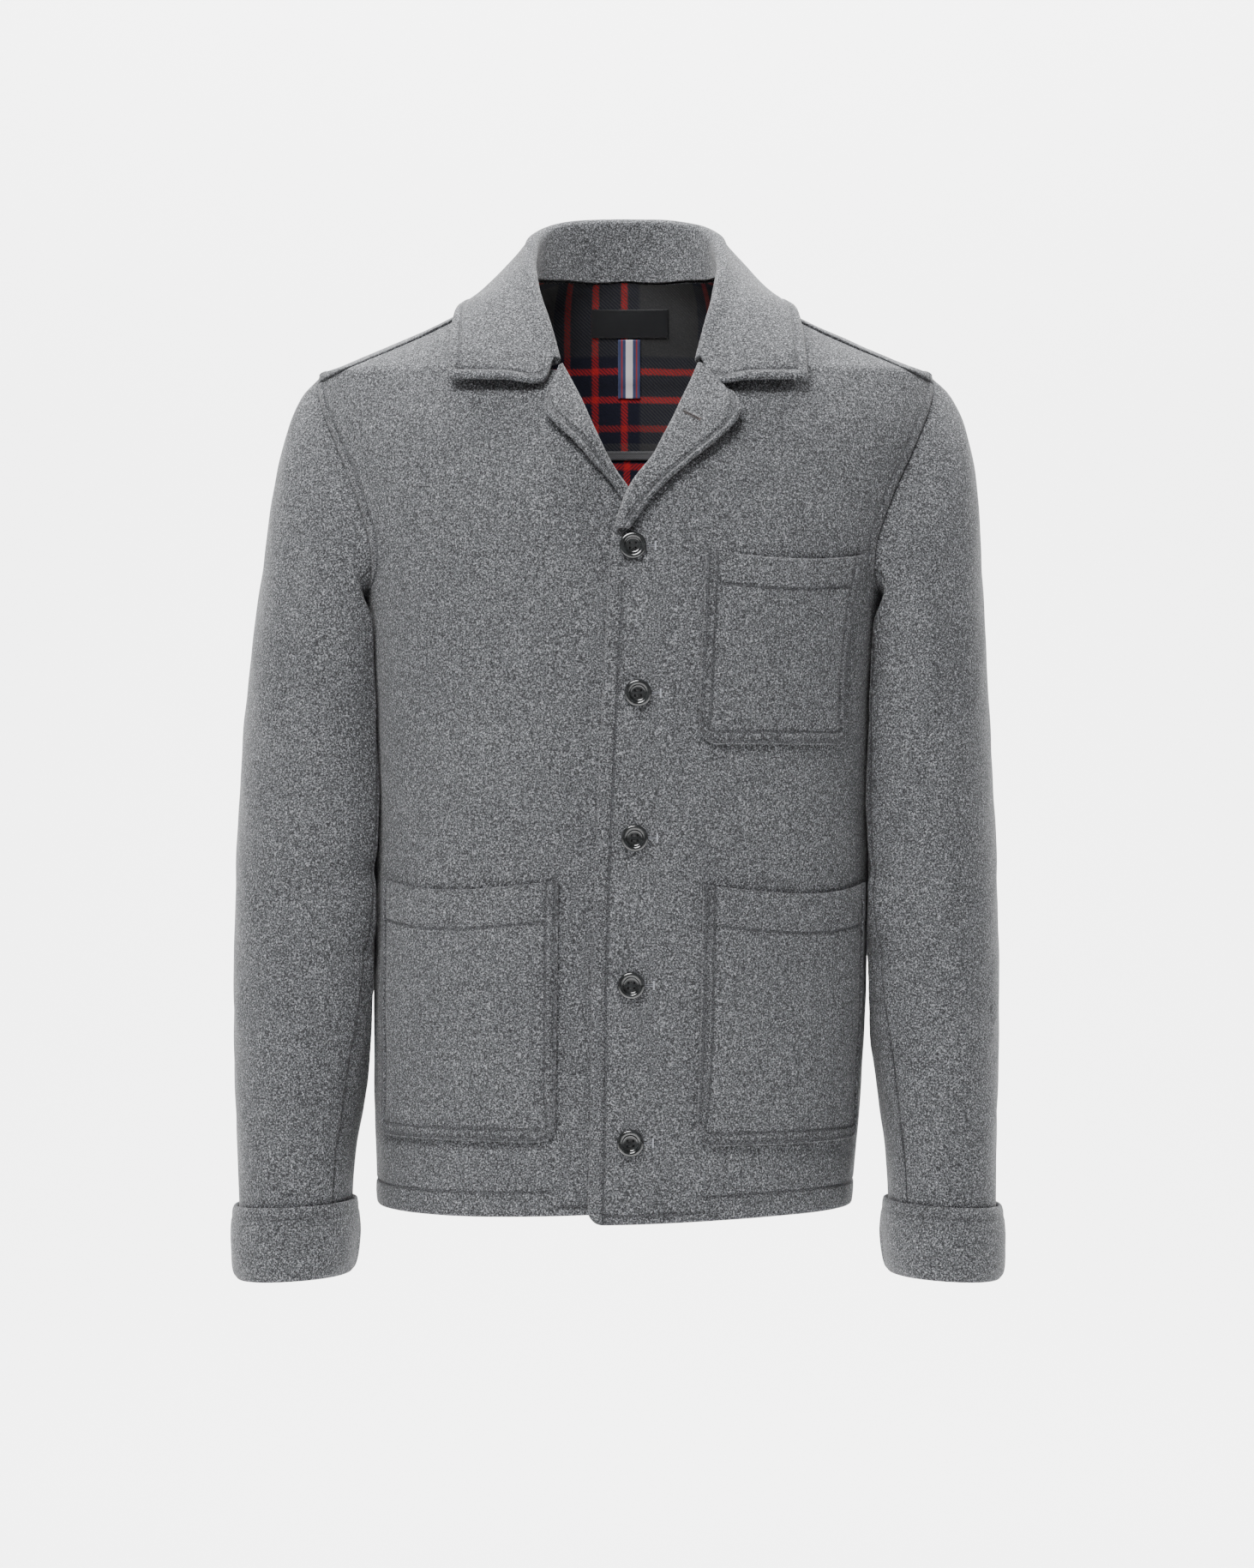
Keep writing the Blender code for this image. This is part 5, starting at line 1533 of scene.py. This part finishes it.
def ribbon_weave(name="striped_ribbon"):
    """Navy ribbed ribbon with a pale middle stripe and a thin red line near each edge."""
    n = Nodes(name)
    where = n.place("UV")
    split = n.tree.nodes.new("ShaderNodeSeparateXYZ")
    n.tree.links.new(where, split.inputs[0])
    place = n.maths("DIVIDE", n.maths("SUBTRACT", split.outputs["X"], -0.0060), 0.0174)
    navy = (0.030, 0.042, 0.110)
    pale = (0.640, 0.600, 0.620)
    red = (0.260, 0.020, 0.025)
    stops = (
        (0.00, navy), (0.14, red), (0.20, navy), (0.34, pale), (0.66, navy), (0.80, red), (0.86, navy),
    )
    colour = n.ramp(place, stops, "CONSTANT")
    ribs = n.maths("PINGPONG", n.maths("DIVIDE", split.outputs["Y"], 0.0007), 0.5)
    shade = n.ramp(ribs, ((0.0, (0.42, 0.42, 0.42)), (0.5, (0.60, 0.60, 0.60))))
    n.link(n.mix(0.5, colour, shade, "OVERLAY"), "Base Color")
    n.bump(ribs, 0.4, 0.0003)
    n.set(Roughness=0.7, Sheen_Weight=0.1)
    return n.material


def tape_weave(name="grey_seam_tape"):
    n = Nodes(name)
    where = n.place("UV")
    split = n.tree.nodes.new("ShaderNodeSeparateXYZ")
    n.tree.links.new(where, split.inputs[0])
    slope = n.maths("PINGPONG", n.maths("DIVIDE", n.maths("ADD", split.outputs["X"], split.outputs["Y"]), 0.0012), 0.5)
    n.link(n.ramp(slope, ((0.0, (0.030, 0.030, 0.032)), (0.5, (0.085, 0.085, 0.090)))), "Base Color")
    n.bump(slope, 0.4, 0.0003)
    n.set(Roughness=0.85, Sheen_Weight=0.15)
    return n.material


def plain(name, colour, roughness):
    n = Nodes(name)
    n.set(Base_Color=(*colour, 1), Roughness=roughness)
    return n.material


# Small pieces


def search_tree(thing):
    shape = bmesh.new()
    shape.from_mesh(thing.data)
    tree = BVHTree.FromBMesh(shape)
    shape.free()
    return tree


def onto(tree, x, height, from_y=-0.4, way=1.0):
    """The point of a surface straight ahead of (x, height), and its outward direction."""
    spot, normal, _, _ = tree.ray_cast(Vector((x, from_y, height)), Vector((0, way, 0)))
    return spot, normal


def inside_strip(name, trees, left, right, low, high, thick, columns, rows, material, slot):
    """A small flat woven piece laid on the inside of the back pieces."""

    def place(u, v, depth):
        x = left + (right - left) * u
        height = low + (high - low) * v
        y = []
        for a, b in zip(x, height):
            hits = [tree.ray_cast(Vector((a, -0.03, b)), Vector((0, 1, 0)))[0] for tree in trees]
            y.append(min(hit.y for hit in hits if hit))
        lean = outward(body_skin, 180 - angle_of(x, height), height, 1.0, 0.001)
        return np.column_stack([x, y, height]) - lean * (0.0002 + thick * (1 - depth))[:, None]

    panel = Panel(name, place, thick)
    thing = wall(panel, columns, rows, ("left", "right", "low", "high"), (), [material])
    layer = thing.data.uv_layers["cloth"].data
    for loop, spot in zip(thing.data.loops, layer):
        corner = thing.data.vertices[loop.vertex_index].co
        spot.uv = (corner.x, corner.z)
    fitted(thing, slot, name)
    return thing, panel


def make_button(name, tree, x, height, material, dark, sewing):
    """A polished button with a broad raised rim, a dish and four holes, and its sewing."""
    radius = BUTTON_RADIUS
    outline = (
        (0.0, 0.0),
        (0.55, 0.0),
        (0.80, 0.06),
        (0.94, 0.25),
        (0.995, 0.50),
        (0.985, 0.68),
        (0.945, 0.86),
        (0.875, 0.965),
        (0.79, 1.0),
        (0.70, 0.955),
        (0.63, 0.82),
        (0.575, 0.62),
        (0.53, 0.50),
        (0.45, 0.455),
        (0.25, 0.440),
        (0.0, 0.440),
    )
    shape = bmesh.new()
    corners = [shape.verts.new((r * radius, 0, h * BUTTON_HEIGHT)) for r, h in outline]
    edges = [shape.edges.new(pair) for pair in zip(corners, corners[1:])]
    bmesh.ops.spin(
        shape, geom=corners + edges, cent=(0, 0, 0), axis=(0, 0, 1),
        angle=2 * pi, steps=56, use_merge=True, use_duplicate=False,
    )
    bmesh.ops.remove_doubles(shape, verts=shape.verts[:], dist=1e-6)
    mesh = bpy.data.meshes.new(name)
    shape.to_mesh(mesh)
    shape.free()
    mesh.materials.append(material)
    button = settled(f"polished_{name}", mesh)
    cutter_shape = bmesh.new()
    holes = [(radius * 0.19 * a, radius * 0.19 * b) for a in (-1, 1) for b in (-1, 1)]
    for hole_x, hole_y in holes:
        bmesh.ops.create_cone(
            cutter_shape, cap_ends=True, segments=20, radius1=radius * 0.095, radius2=radius * 0.095,
            depth=0.02, matrix=Matrix.Translation((hole_x, hole_y, 0)),
        )
    cutter_mesh = bpy.data.meshes.new("holes")
    cutter_shape.to_mesh(cutter_mesh)
    cutter_shape.free()
    cutter = bpy.data.objects.new("holes", cutter_mesh)
    bpy.context.scene.collection.objects.link(cutter)
    cut = button.modifiers.new("holes", "BOOLEAN")
    cut.solver = "EXACT"
    cut.object = cutter
    bpy.context.view_layer.update()
    done = bpy.data.meshes.new_from_object(button.evaluated_get(bpy.context.evaluated_depsgraph_get()))
    button.modifiers.remove(cut)
    button.data = done
    bpy.data.objects.remove(cutter)
    button.data.set_sharp_from_angle(angle=pi / 4)
    far = 0.020
    start = Vector(front([x], [height], far)[0])
    ahead = (start - Vector(front([x], [height])[0])).normalized()
    turn = ahead.to_track_quat("Z", "Y").to_matrix().to_4x4()
    under = [turn @ Vector((radius * 0.7 * cos(a), radius * 0.7 * sin(a), 0)) for a in np.linspace(0, 2 * pi, 17)]
    near = min(tree.ray_cast(start + corner, -ahead)[3] for corner in under)
    base = Matrix.Translation(start - ahead * (near + 0.0002)) @ turn
    button.data.transform(base)
    fitted(button, "dark_horn", name)
    level = BUTTON_HEIGHT * 0.50
    firsts = []
    lasts = []
    for a, b in ((0, 2), (1, 3)):
        for shift in (-0.00030, 0.00030):
            first = base @ Vector((holes[a][0], holes[a][1] + shift, level - 0.0004))
            last = base @ Vector((holes[b][0], holes[b][1] + shift, level - 0.0004))
            middle = (first + last) / 2 + ahead * 0.0007
            firsts += [first, middle]
            lasts += [middle, last]
    grains(f"sewing_{name}", firsts, lasts, 0.00028, sewing, "dark_horn")
    # painted shadow: a thin disc of the dark shadow material inside the button, seen through the four holes as their
    # dark depth
    disc = bmesh.new()
    bmesh.ops.create_cone(
        disc, cap_ends=True, segments=24, radius1=radius * 0.45, radius2=radius * 0.45, depth=0.0003,
        matrix=base @ Matrix.Translation((0, 0, 0.0006)),
    )
    mesh = bpy.data.meshes.new(f"shank_{name}")
    disc.to_mesh(mesh)
    disc.free()
    mesh.materials.append(dark)
    thing = bpy.data.objects.new(f"shank_{name}", mesh)
    bpy.context.scene.collection.objects.link(thing)
    fitted(thing, "dark_horn")


def buttonhole(name, tree, start, stop, tack, material, slit_material, bite=0.0018):
    """A worked slit between two places, seen from the front: short stitches along both sides,
    and a bar across its far end. tack is the bar's length."""
    start = np.array(start)
    stop = np.array(stop)
    way = (stop - start) / np.linalg.norm(stop - start)
    across = np.array([-way[1], way[0]])
    long = np.linalg.norm(stop - start)

    def at(along, aside, lift):
        x, height = start + way * along + across * aside
        spot, normal = onto(tree, x, height)
        return spot + normal * (lift if normal.y < 0 else -lift)

    threads = []
    slits = []
    for along in np.arange(0, long, 0.00062):
        for side in (-1, 1):
            threads.append((at(along, side * 0.00025, 0.00022), at(along + 0.0001, side * bite / 2, 0.00018)))
        # painted shadow: dark grains along the middle of the slit stand for the shade inside its opening
        slits.append((at(along - 0.0004, 0, 0.00008), at(along + 0.0009, 0, 0.00008)))
    for k in range(5):
        along = long + 0.00022 * (k - 2)
        steps = np.linspace(-tack / 2, tack / 2, 5)
        threads += [(at(along, a, 0.0003), at(along, b, 0.0003)) for a, b in zip(steps, steps[1:])]
    grains(f"worked_{name}", *zip(*threads), 0.00022, material, "grey_wool")
    grains(f"slit_{name}", *zip(*slits), 0.00030, slit_material, "grey_wool")


def cloth_sheet(panel, with_pieces=()):
    width, length, area = panel.size()


def make_jacket():
    wool = heather_wool()
    check = check_wool()
    tonal = thread("grey_sewing_thread", (0.060, 0.062, 0.068))
    pale = thread("pale_sewing_thread", (0.270, 0.280, 0.310))
    brown = thread("brown_sewing_thread", (0.030, 0.018, 0.015))
    black = thread("black_sewing_thread", (0.010, 0.010, 0.011))
    dark = plain("slit_shadow", (0.004, 0.004, 0.005), 1.0)
    lift = STITCH_LIFT

    edge_rows = TURNED + stitched(0.0048, EDGE_STITCH)
    hem_rows = TURNED + (0.0045,) + stitched(HEM_STITCH_FRONT) + (0.0115, 0.0140) + stitched(HEM_STITCH)
    arm_rows = PRESSED + stitched(ARM_STITCH)

    fronts = (
        ("front_left", 1, LEFT_EDGE, LEFT_LAPEL, 0),
        ("front_right", -1, RIGHT_EDGE, RIGHT_LAPEL, 0.27),
    )
    things = {}
    for name, side, edge, lapel, pinch in fronts:
        panel = front_panel(name, side, edge, lapel)
        corner_lift(panel)
        thing = wall(
            panel, (edge_rows, 72, arm_rows), (hem_rows, 190, PRESSED), ("left", "low"), ("right", "high"),
            [wool, check], inside=lambda e, u, v: e.left < FACING,
            extra=lambda e, u, v: 0.0008 * (1 - eased(e.low, HEM_STITCH, HEM_STITCH + 0.004)),
        )
        fitted(thing, "grey_wool", name)
        share = FACING / panel.along_row(0.0)[-1]
        start = EDGE_STITCH / panel.along_row(0.0)[-1]
        runs = [
            row_beside(panel, "left", EDGE_STITCH, 0.012, BELOW_LAPEL - 0.02, lift, 300),
            row_beside(panel, "right", ARM_STITCH, UNDER + 0.02, 1.0, lift, 200),
            row_beside(panel, "low", HEM_STITCH_FRONT, start, share, lift, 60),
            row_beside(panel, "low", HEM_STITCH, share, 1.0, lift, 90),
        ]
        sewing = stitches(f"sewing_{name}", runs, tonal)
        cloth_sheet(panel, [sewing])
        things[name] = thing
        lapel_cloth = lapel_panel(name.replace("front", "lapel"), side, lapel, pinch)
        rows = TURNED + stitched(0.0048, 0.0072)
        lapel_thing = wall(
            lapel_cloth, (PRESSED, 46, rows), (rows, 56, PRESSED), ("right", "low"), (), [wool],
            free=lambda u, v: np.maximum(eased(u, 0.50, 0.60), eased(v, 0.03, 0.06)),
        )
        fitted(lapel_thing, "grey_wool", lapel_cloth.name)
        runs = [row_beside(lapel_cloth, "right", at, 0.06, 0.97, lift) for at in (0.0048, 0.0072)]
        sewing = stitches(f"sewing_{lapel_cloth.name}", runs, tonal)
        cloth_sheet(lapel_cloth, [sewing])
        things[lapel_cloth.name] = lapel_thing

    back = back_panel()
    hem_back = TURNED + (0.0045, 0.0090, 0.0130) + stitched(HEM_STITCH)
    thing = wall(
        back, (arm_rows, 130, arm_rows), (hem_back, 130, PRESSED), ("low",), ("left", "right", "high"),
        [wool, check], extra=lambda e, u, v: 0.0008 * (1 - eased(e.low, HEM_STITCH, HEM_STITCH + 0.004)),
    )
    fitted(thing, "grey_wool", "back")
    runs = [row_beside(back, "low", HEM_STITCH, 0, 1, lift, 200)]
    runs += [row_beside(back, edge, ARM_STITCH, BACK_UNDER + 0.02, 1.0, lift) for edge in ("left", "right")]
    cloth_sheet(back, [stitches("sewing_back", runs, tonal)])
    things["back"] = thing

    yoke = yoke_panel()
    side_rows = PRESSED + stitched(SIDE_STITCH)
    thing = wall(
        yoke, (arm_rows, 150, arm_rows), (side_rows, 46, side_rows), (), ("left", "right", "low", "high"),
        [wool, check],
    )
    fitted(thing, "grey_wool", "back_yoke")
    runs = [row_beside(yoke, "low", SIDE_STITCH, 0, 1, lift, 200)]
    runs += [row_beside(yoke, edge, ARM_STITCH, 0, 1, lift) for edge in ("left", "right")]
    runs += [row_beside(yoke, "high", SIDE_STITCH, a, b, lift) for a, b in ((0, 0.30), (0.70, 1))]
    cloth_sheet(yoke, [stitches("sewing_back_yoke", runs, tonal)])
    things["back_yoke"] = thing

    collar = collar_panel()
    rows = TURNED + stitched(COLLAR_STITCH)
    thing = wall(
        collar, (rows, 170, rows), (PRESSED, 60, rows), ("left", "right", "high"), (), [wool],
        free=lambda u, v: eased(v, 0.56, 0.64),
    )
    fitted(thing, "grey_wool", "collar")
    runs = [row_beside(collar, "high", COLLAR_STITCH, 0.02, 0.98, lift, 400)]
    runs += [row_beside(collar, edge, COLLAR_STITCH, 0.50, 0.94, lift, 80) for edge in ("left", "right")]
    cloth_sheet(collar, [stitches("sewing_collar", runs, tonal)])

    for word, form in (("left", left_form), ("right", right_form)):
        for part, low, high, across in (
            ("top_sleeve", BACK_SEAM - 360, FRONT_SEAM, 84),
            ("under_sleeve", FRONT_SEAM, BACK_SEAM, 44),
        ):
            panel = sleeve_panel(f"{part}_{word}", form, low, high)
            thing = wall(
                panel, (PRESSED, across, PRESSED), (PRESSED, 190, TURNED), (), ("left", "right", "low"),
                [wool, check], inside=lambda e, u, v: e.high < 0.05,
            )
            fitted(thing, "grey_wool", panel.name)
            cloth_sheet(panel)
        make_cuff(f"cuff_{word}", form, wool)

    pockets = (
        ("chest_pocket", 1, (0.0580, -0.1995), 0.130, 0.141, 0.0012, 0.005, 0.0230),
        ("hip_pocket_left", 1, (0.0560, -0.4430), 0.173, 0.191, 0.0022, 0.007, 0.0290),
        ("hip_pocket_right", -1, (0.0485, -0.4400), 0.173, 0.191, 0.0022, 0.007, 0.0290),
    )
    for name, side, corner, width, height, puff, sag, hem in pockets:
        panel = pocket_panel(name, side, corner, width, height, puff, sag, hem)
        rows = TURNED + stitched(POCKET_STITCH)
        top_rows = TURNED + (0.006, 0.012, 0.017) + stitched(hem)
        thing = wall(panel, (rows, 50, rows), (rows, 46, top_rows), ("left", "right", "low", "high"), (), [wool])
        fitted(thing, "grey_wool", name)
        inner = POCKET_STITCH / panel.along_row(0.5)[-1]
        runs = [row_beside(panel, edge, POCKET_STITCH, 0.05, 0.995, lift) for edge in ("left", "right")]
        runs.append(row_beside(panel, "low", POCKET_STITCH, inner, 1 - inner, lift))
        runs += [row_beside(panel, edge, POCKET_EDGE, 0.05, 0.995, lift) for edge in ("left", "right")]
        runs.append(row_beside(panel, "low", POCKET_EDGE, 0.02, 0.98, lift))
        runs.append(row_beside(panel, "high", hem, inner, 1 - inner, lift))
        cloth_sheet(panel, [stitches(f"sewing_{name}", runs, tonal)])

    front_tree = search_tree(things["front_left"])
    lapel_tree = search_tree(things["lapel_left"])
    polished = horn()
    for number, (x, height) in enumerate(BUTTONS, 1):
        make_button(f"button_{number}", front_tree, x, height, polished, dark, black)
        reach = x + 0.0165
        buttonhole(f"hole_{number}", front_tree, (x - 0.001, height), (reach, height), 0.0066, pale, dark, 0.0014)
    buttonhole("hole_lapel", lapel_tree, (0.0425, -0.0958), (0.0545, -0.1022), 0.0026, brown, dark, 0.0022)

    yoke_tree = search_tree(things["back_yoke"])
    back_tree = search_tree(things["back"])
    few = (0, 0.0002, 0.0005, 0.0010)
    label, label_cloth = inside_strip(
        "neck_label", [yoke_tree], -0.0268, 0.0335, -0.0212, 0.0002, 0.0006,
        (few, 30, few), (few, 12, few), label_satin(), "black_label",
    )
    ribbon, ribbon_cloth = inside_strip(
        "hanging_ribbon", [yoke_tree], -0.0060, 0.0114, -0.0668, -0.0225, 0.0008,
        (few, 12, few), (few, 24, few), ribbon_weave(), "navy_ribbon",
    )
    low = YOKE_SEAM - 0.0035
    tape, tape_cloth = inside_strip(
        "yoke_tape", [yoke_tree, back_tree], -0.150, 0.150, low, low + 0.007, 0.0012,
        (few, 90, few), (few, 6, few), tape_weave(), "grey_wool",
    )
    runs = []
    for u0, u1, v0, v1 in ((0.02, 0.98, 0.04, 0.04), (0.02, 0.98, 0.96, 0.96), (0.015, 0.015, 0.04, 0.96), (0.985, 0.985, 0.04, 0.96)):
        t = np.linspace(0, 1, 60)
        runs.append(label_cloth.top(u0 + (u1 - u0) * t, v0 + (v1 - v0) * t, 0.0001))
    sewing = stitches("sewing_neck_label", runs, black, 0.0022, 0.0016, 0.00018, "black_label")
    cloth_sheet(label_cloth, [sewing])
    cloth_sheet(ribbon_cloth)
    t = np.linspace(0.005, 0.995, 300)
    runs = [tape_cloth.top(t, np.full_like(t, v), 0.0001) for v in (0.2, 0.8)]
    stitches("sewing_yoke_tape", runs, tonal)


# Studio


def soft_light(name, spot, aim, size, power):
    light = bpy.data.lights.new(name, "AREA")
    light.shape = "RECTANGLE"
    light.size, light.size_y = size
    light.energy = power
    lamp = bpy.data.objects.new(name, light)
    lamp.location = spot
    lamp.rotation_euler = (Vector(aim) - Vector(spot)).to_track_quat("-Z", "Y").to_euler()
    bpy.context.scene.collection.objects.link(lamp)


def make_studio():
    camera = bpy.data.cameras.new("camera")
    camera.sensor_width = 36
    camera.sensor_fit = "AUTO"
    camera.lens = 36 * 3.0 / (1829 * 0.000625)
    eye = bpy.data.objects.new("camera", camera)
    eye.location = (0.001, -3.13, -0.3696)
    eye.rotation_euler = (pi / 2, 0, 0)
    bpy.context.scene.collection.objects.link(eye)
    bpy.context.scene.camera = eye
    sweep = bmesh.new()
    profile = [(-9.0, 0.0)] + [(1.5 - 1.5 * cos(a) + 1.0, 1.5 - 1.5 * sin(a)) for a in np.linspace(pi / 2, 0, 16)]
    profile = [(-9.0, 0.0), (2.5, 0.0)]
    profile += [(2.5 + 1.5 * sin(a), 1.5 - 1.5 * cos(a)) for a in np.linspace(0.1, pi / 2, 14)]
    profile += [(4.0, 7.0)]
    corners = [sweep.verts.new((-9.0, y, -1.25 + z)) for y, z in profile]
    edges = [sweep.edges.new(pair) for pair in zip(corners, corners[1:])]
    moved = bmesh.ops.extrude_edge_only(sweep, edges=edges)["geom"]
    bmesh.ops.translate(sweep, verts=[g for g in moved if isinstance(g, bmesh.types.BMVert)], vec=(18, 0, 0))
    mesh = bpy.data.meshes.new("backdrop")
    sweep.to_mesh(mesh)
    sweep.free()
    mesh.materials.append(plain("pale_backdrop", (0.86, 0.86, 0.86), 0.9))
    mesh.shade_smooth()
    backdrop = bpy.data.objects.new("backdrop", mesh)
    bpy.context.scene.collection.objects.link(backdrop)
    soft_light("top_softbox", (-0.65, -1.65, 1.85), (0, 0, -0.25), (1.5, 0.9), 165)
    soft_light("front_softbox", (0.6, -4.6, 0.6), (0, 0, -0.4), (3.5, 2.5), 6)
    soft_light("left_fill", (-3.2, -1.6, 0.0), (0, 0, -0.4), (1.6, 2.4), 8)
    soft_light("right_fill", (3.2, -1.6, 0.0), (0, 0, -0.4), (1.6, 2.4), 6)
    soft_light("back_softbox", (0.9, 2.3, 1.9), (0, 0, -0.3), (2.0, 1.4), 40)
    soft_light("backdrop_light", (0.0, 0.9, 3.6), (0, 4.0, 0.4), (5.0, 1.0), 1450)
    world = bpy.data.worlds.new("studio")
    world.use_nodes = True
    world.node_tree.nodes["Background"].inputs["Color"].default_value = (1, 1, 1, 1)
    world.node_tree.nodes["Background"].inputs["Strength"].default_value = 0.12
    bpy.context.scene.world = world


make_studio()
make_jacket()
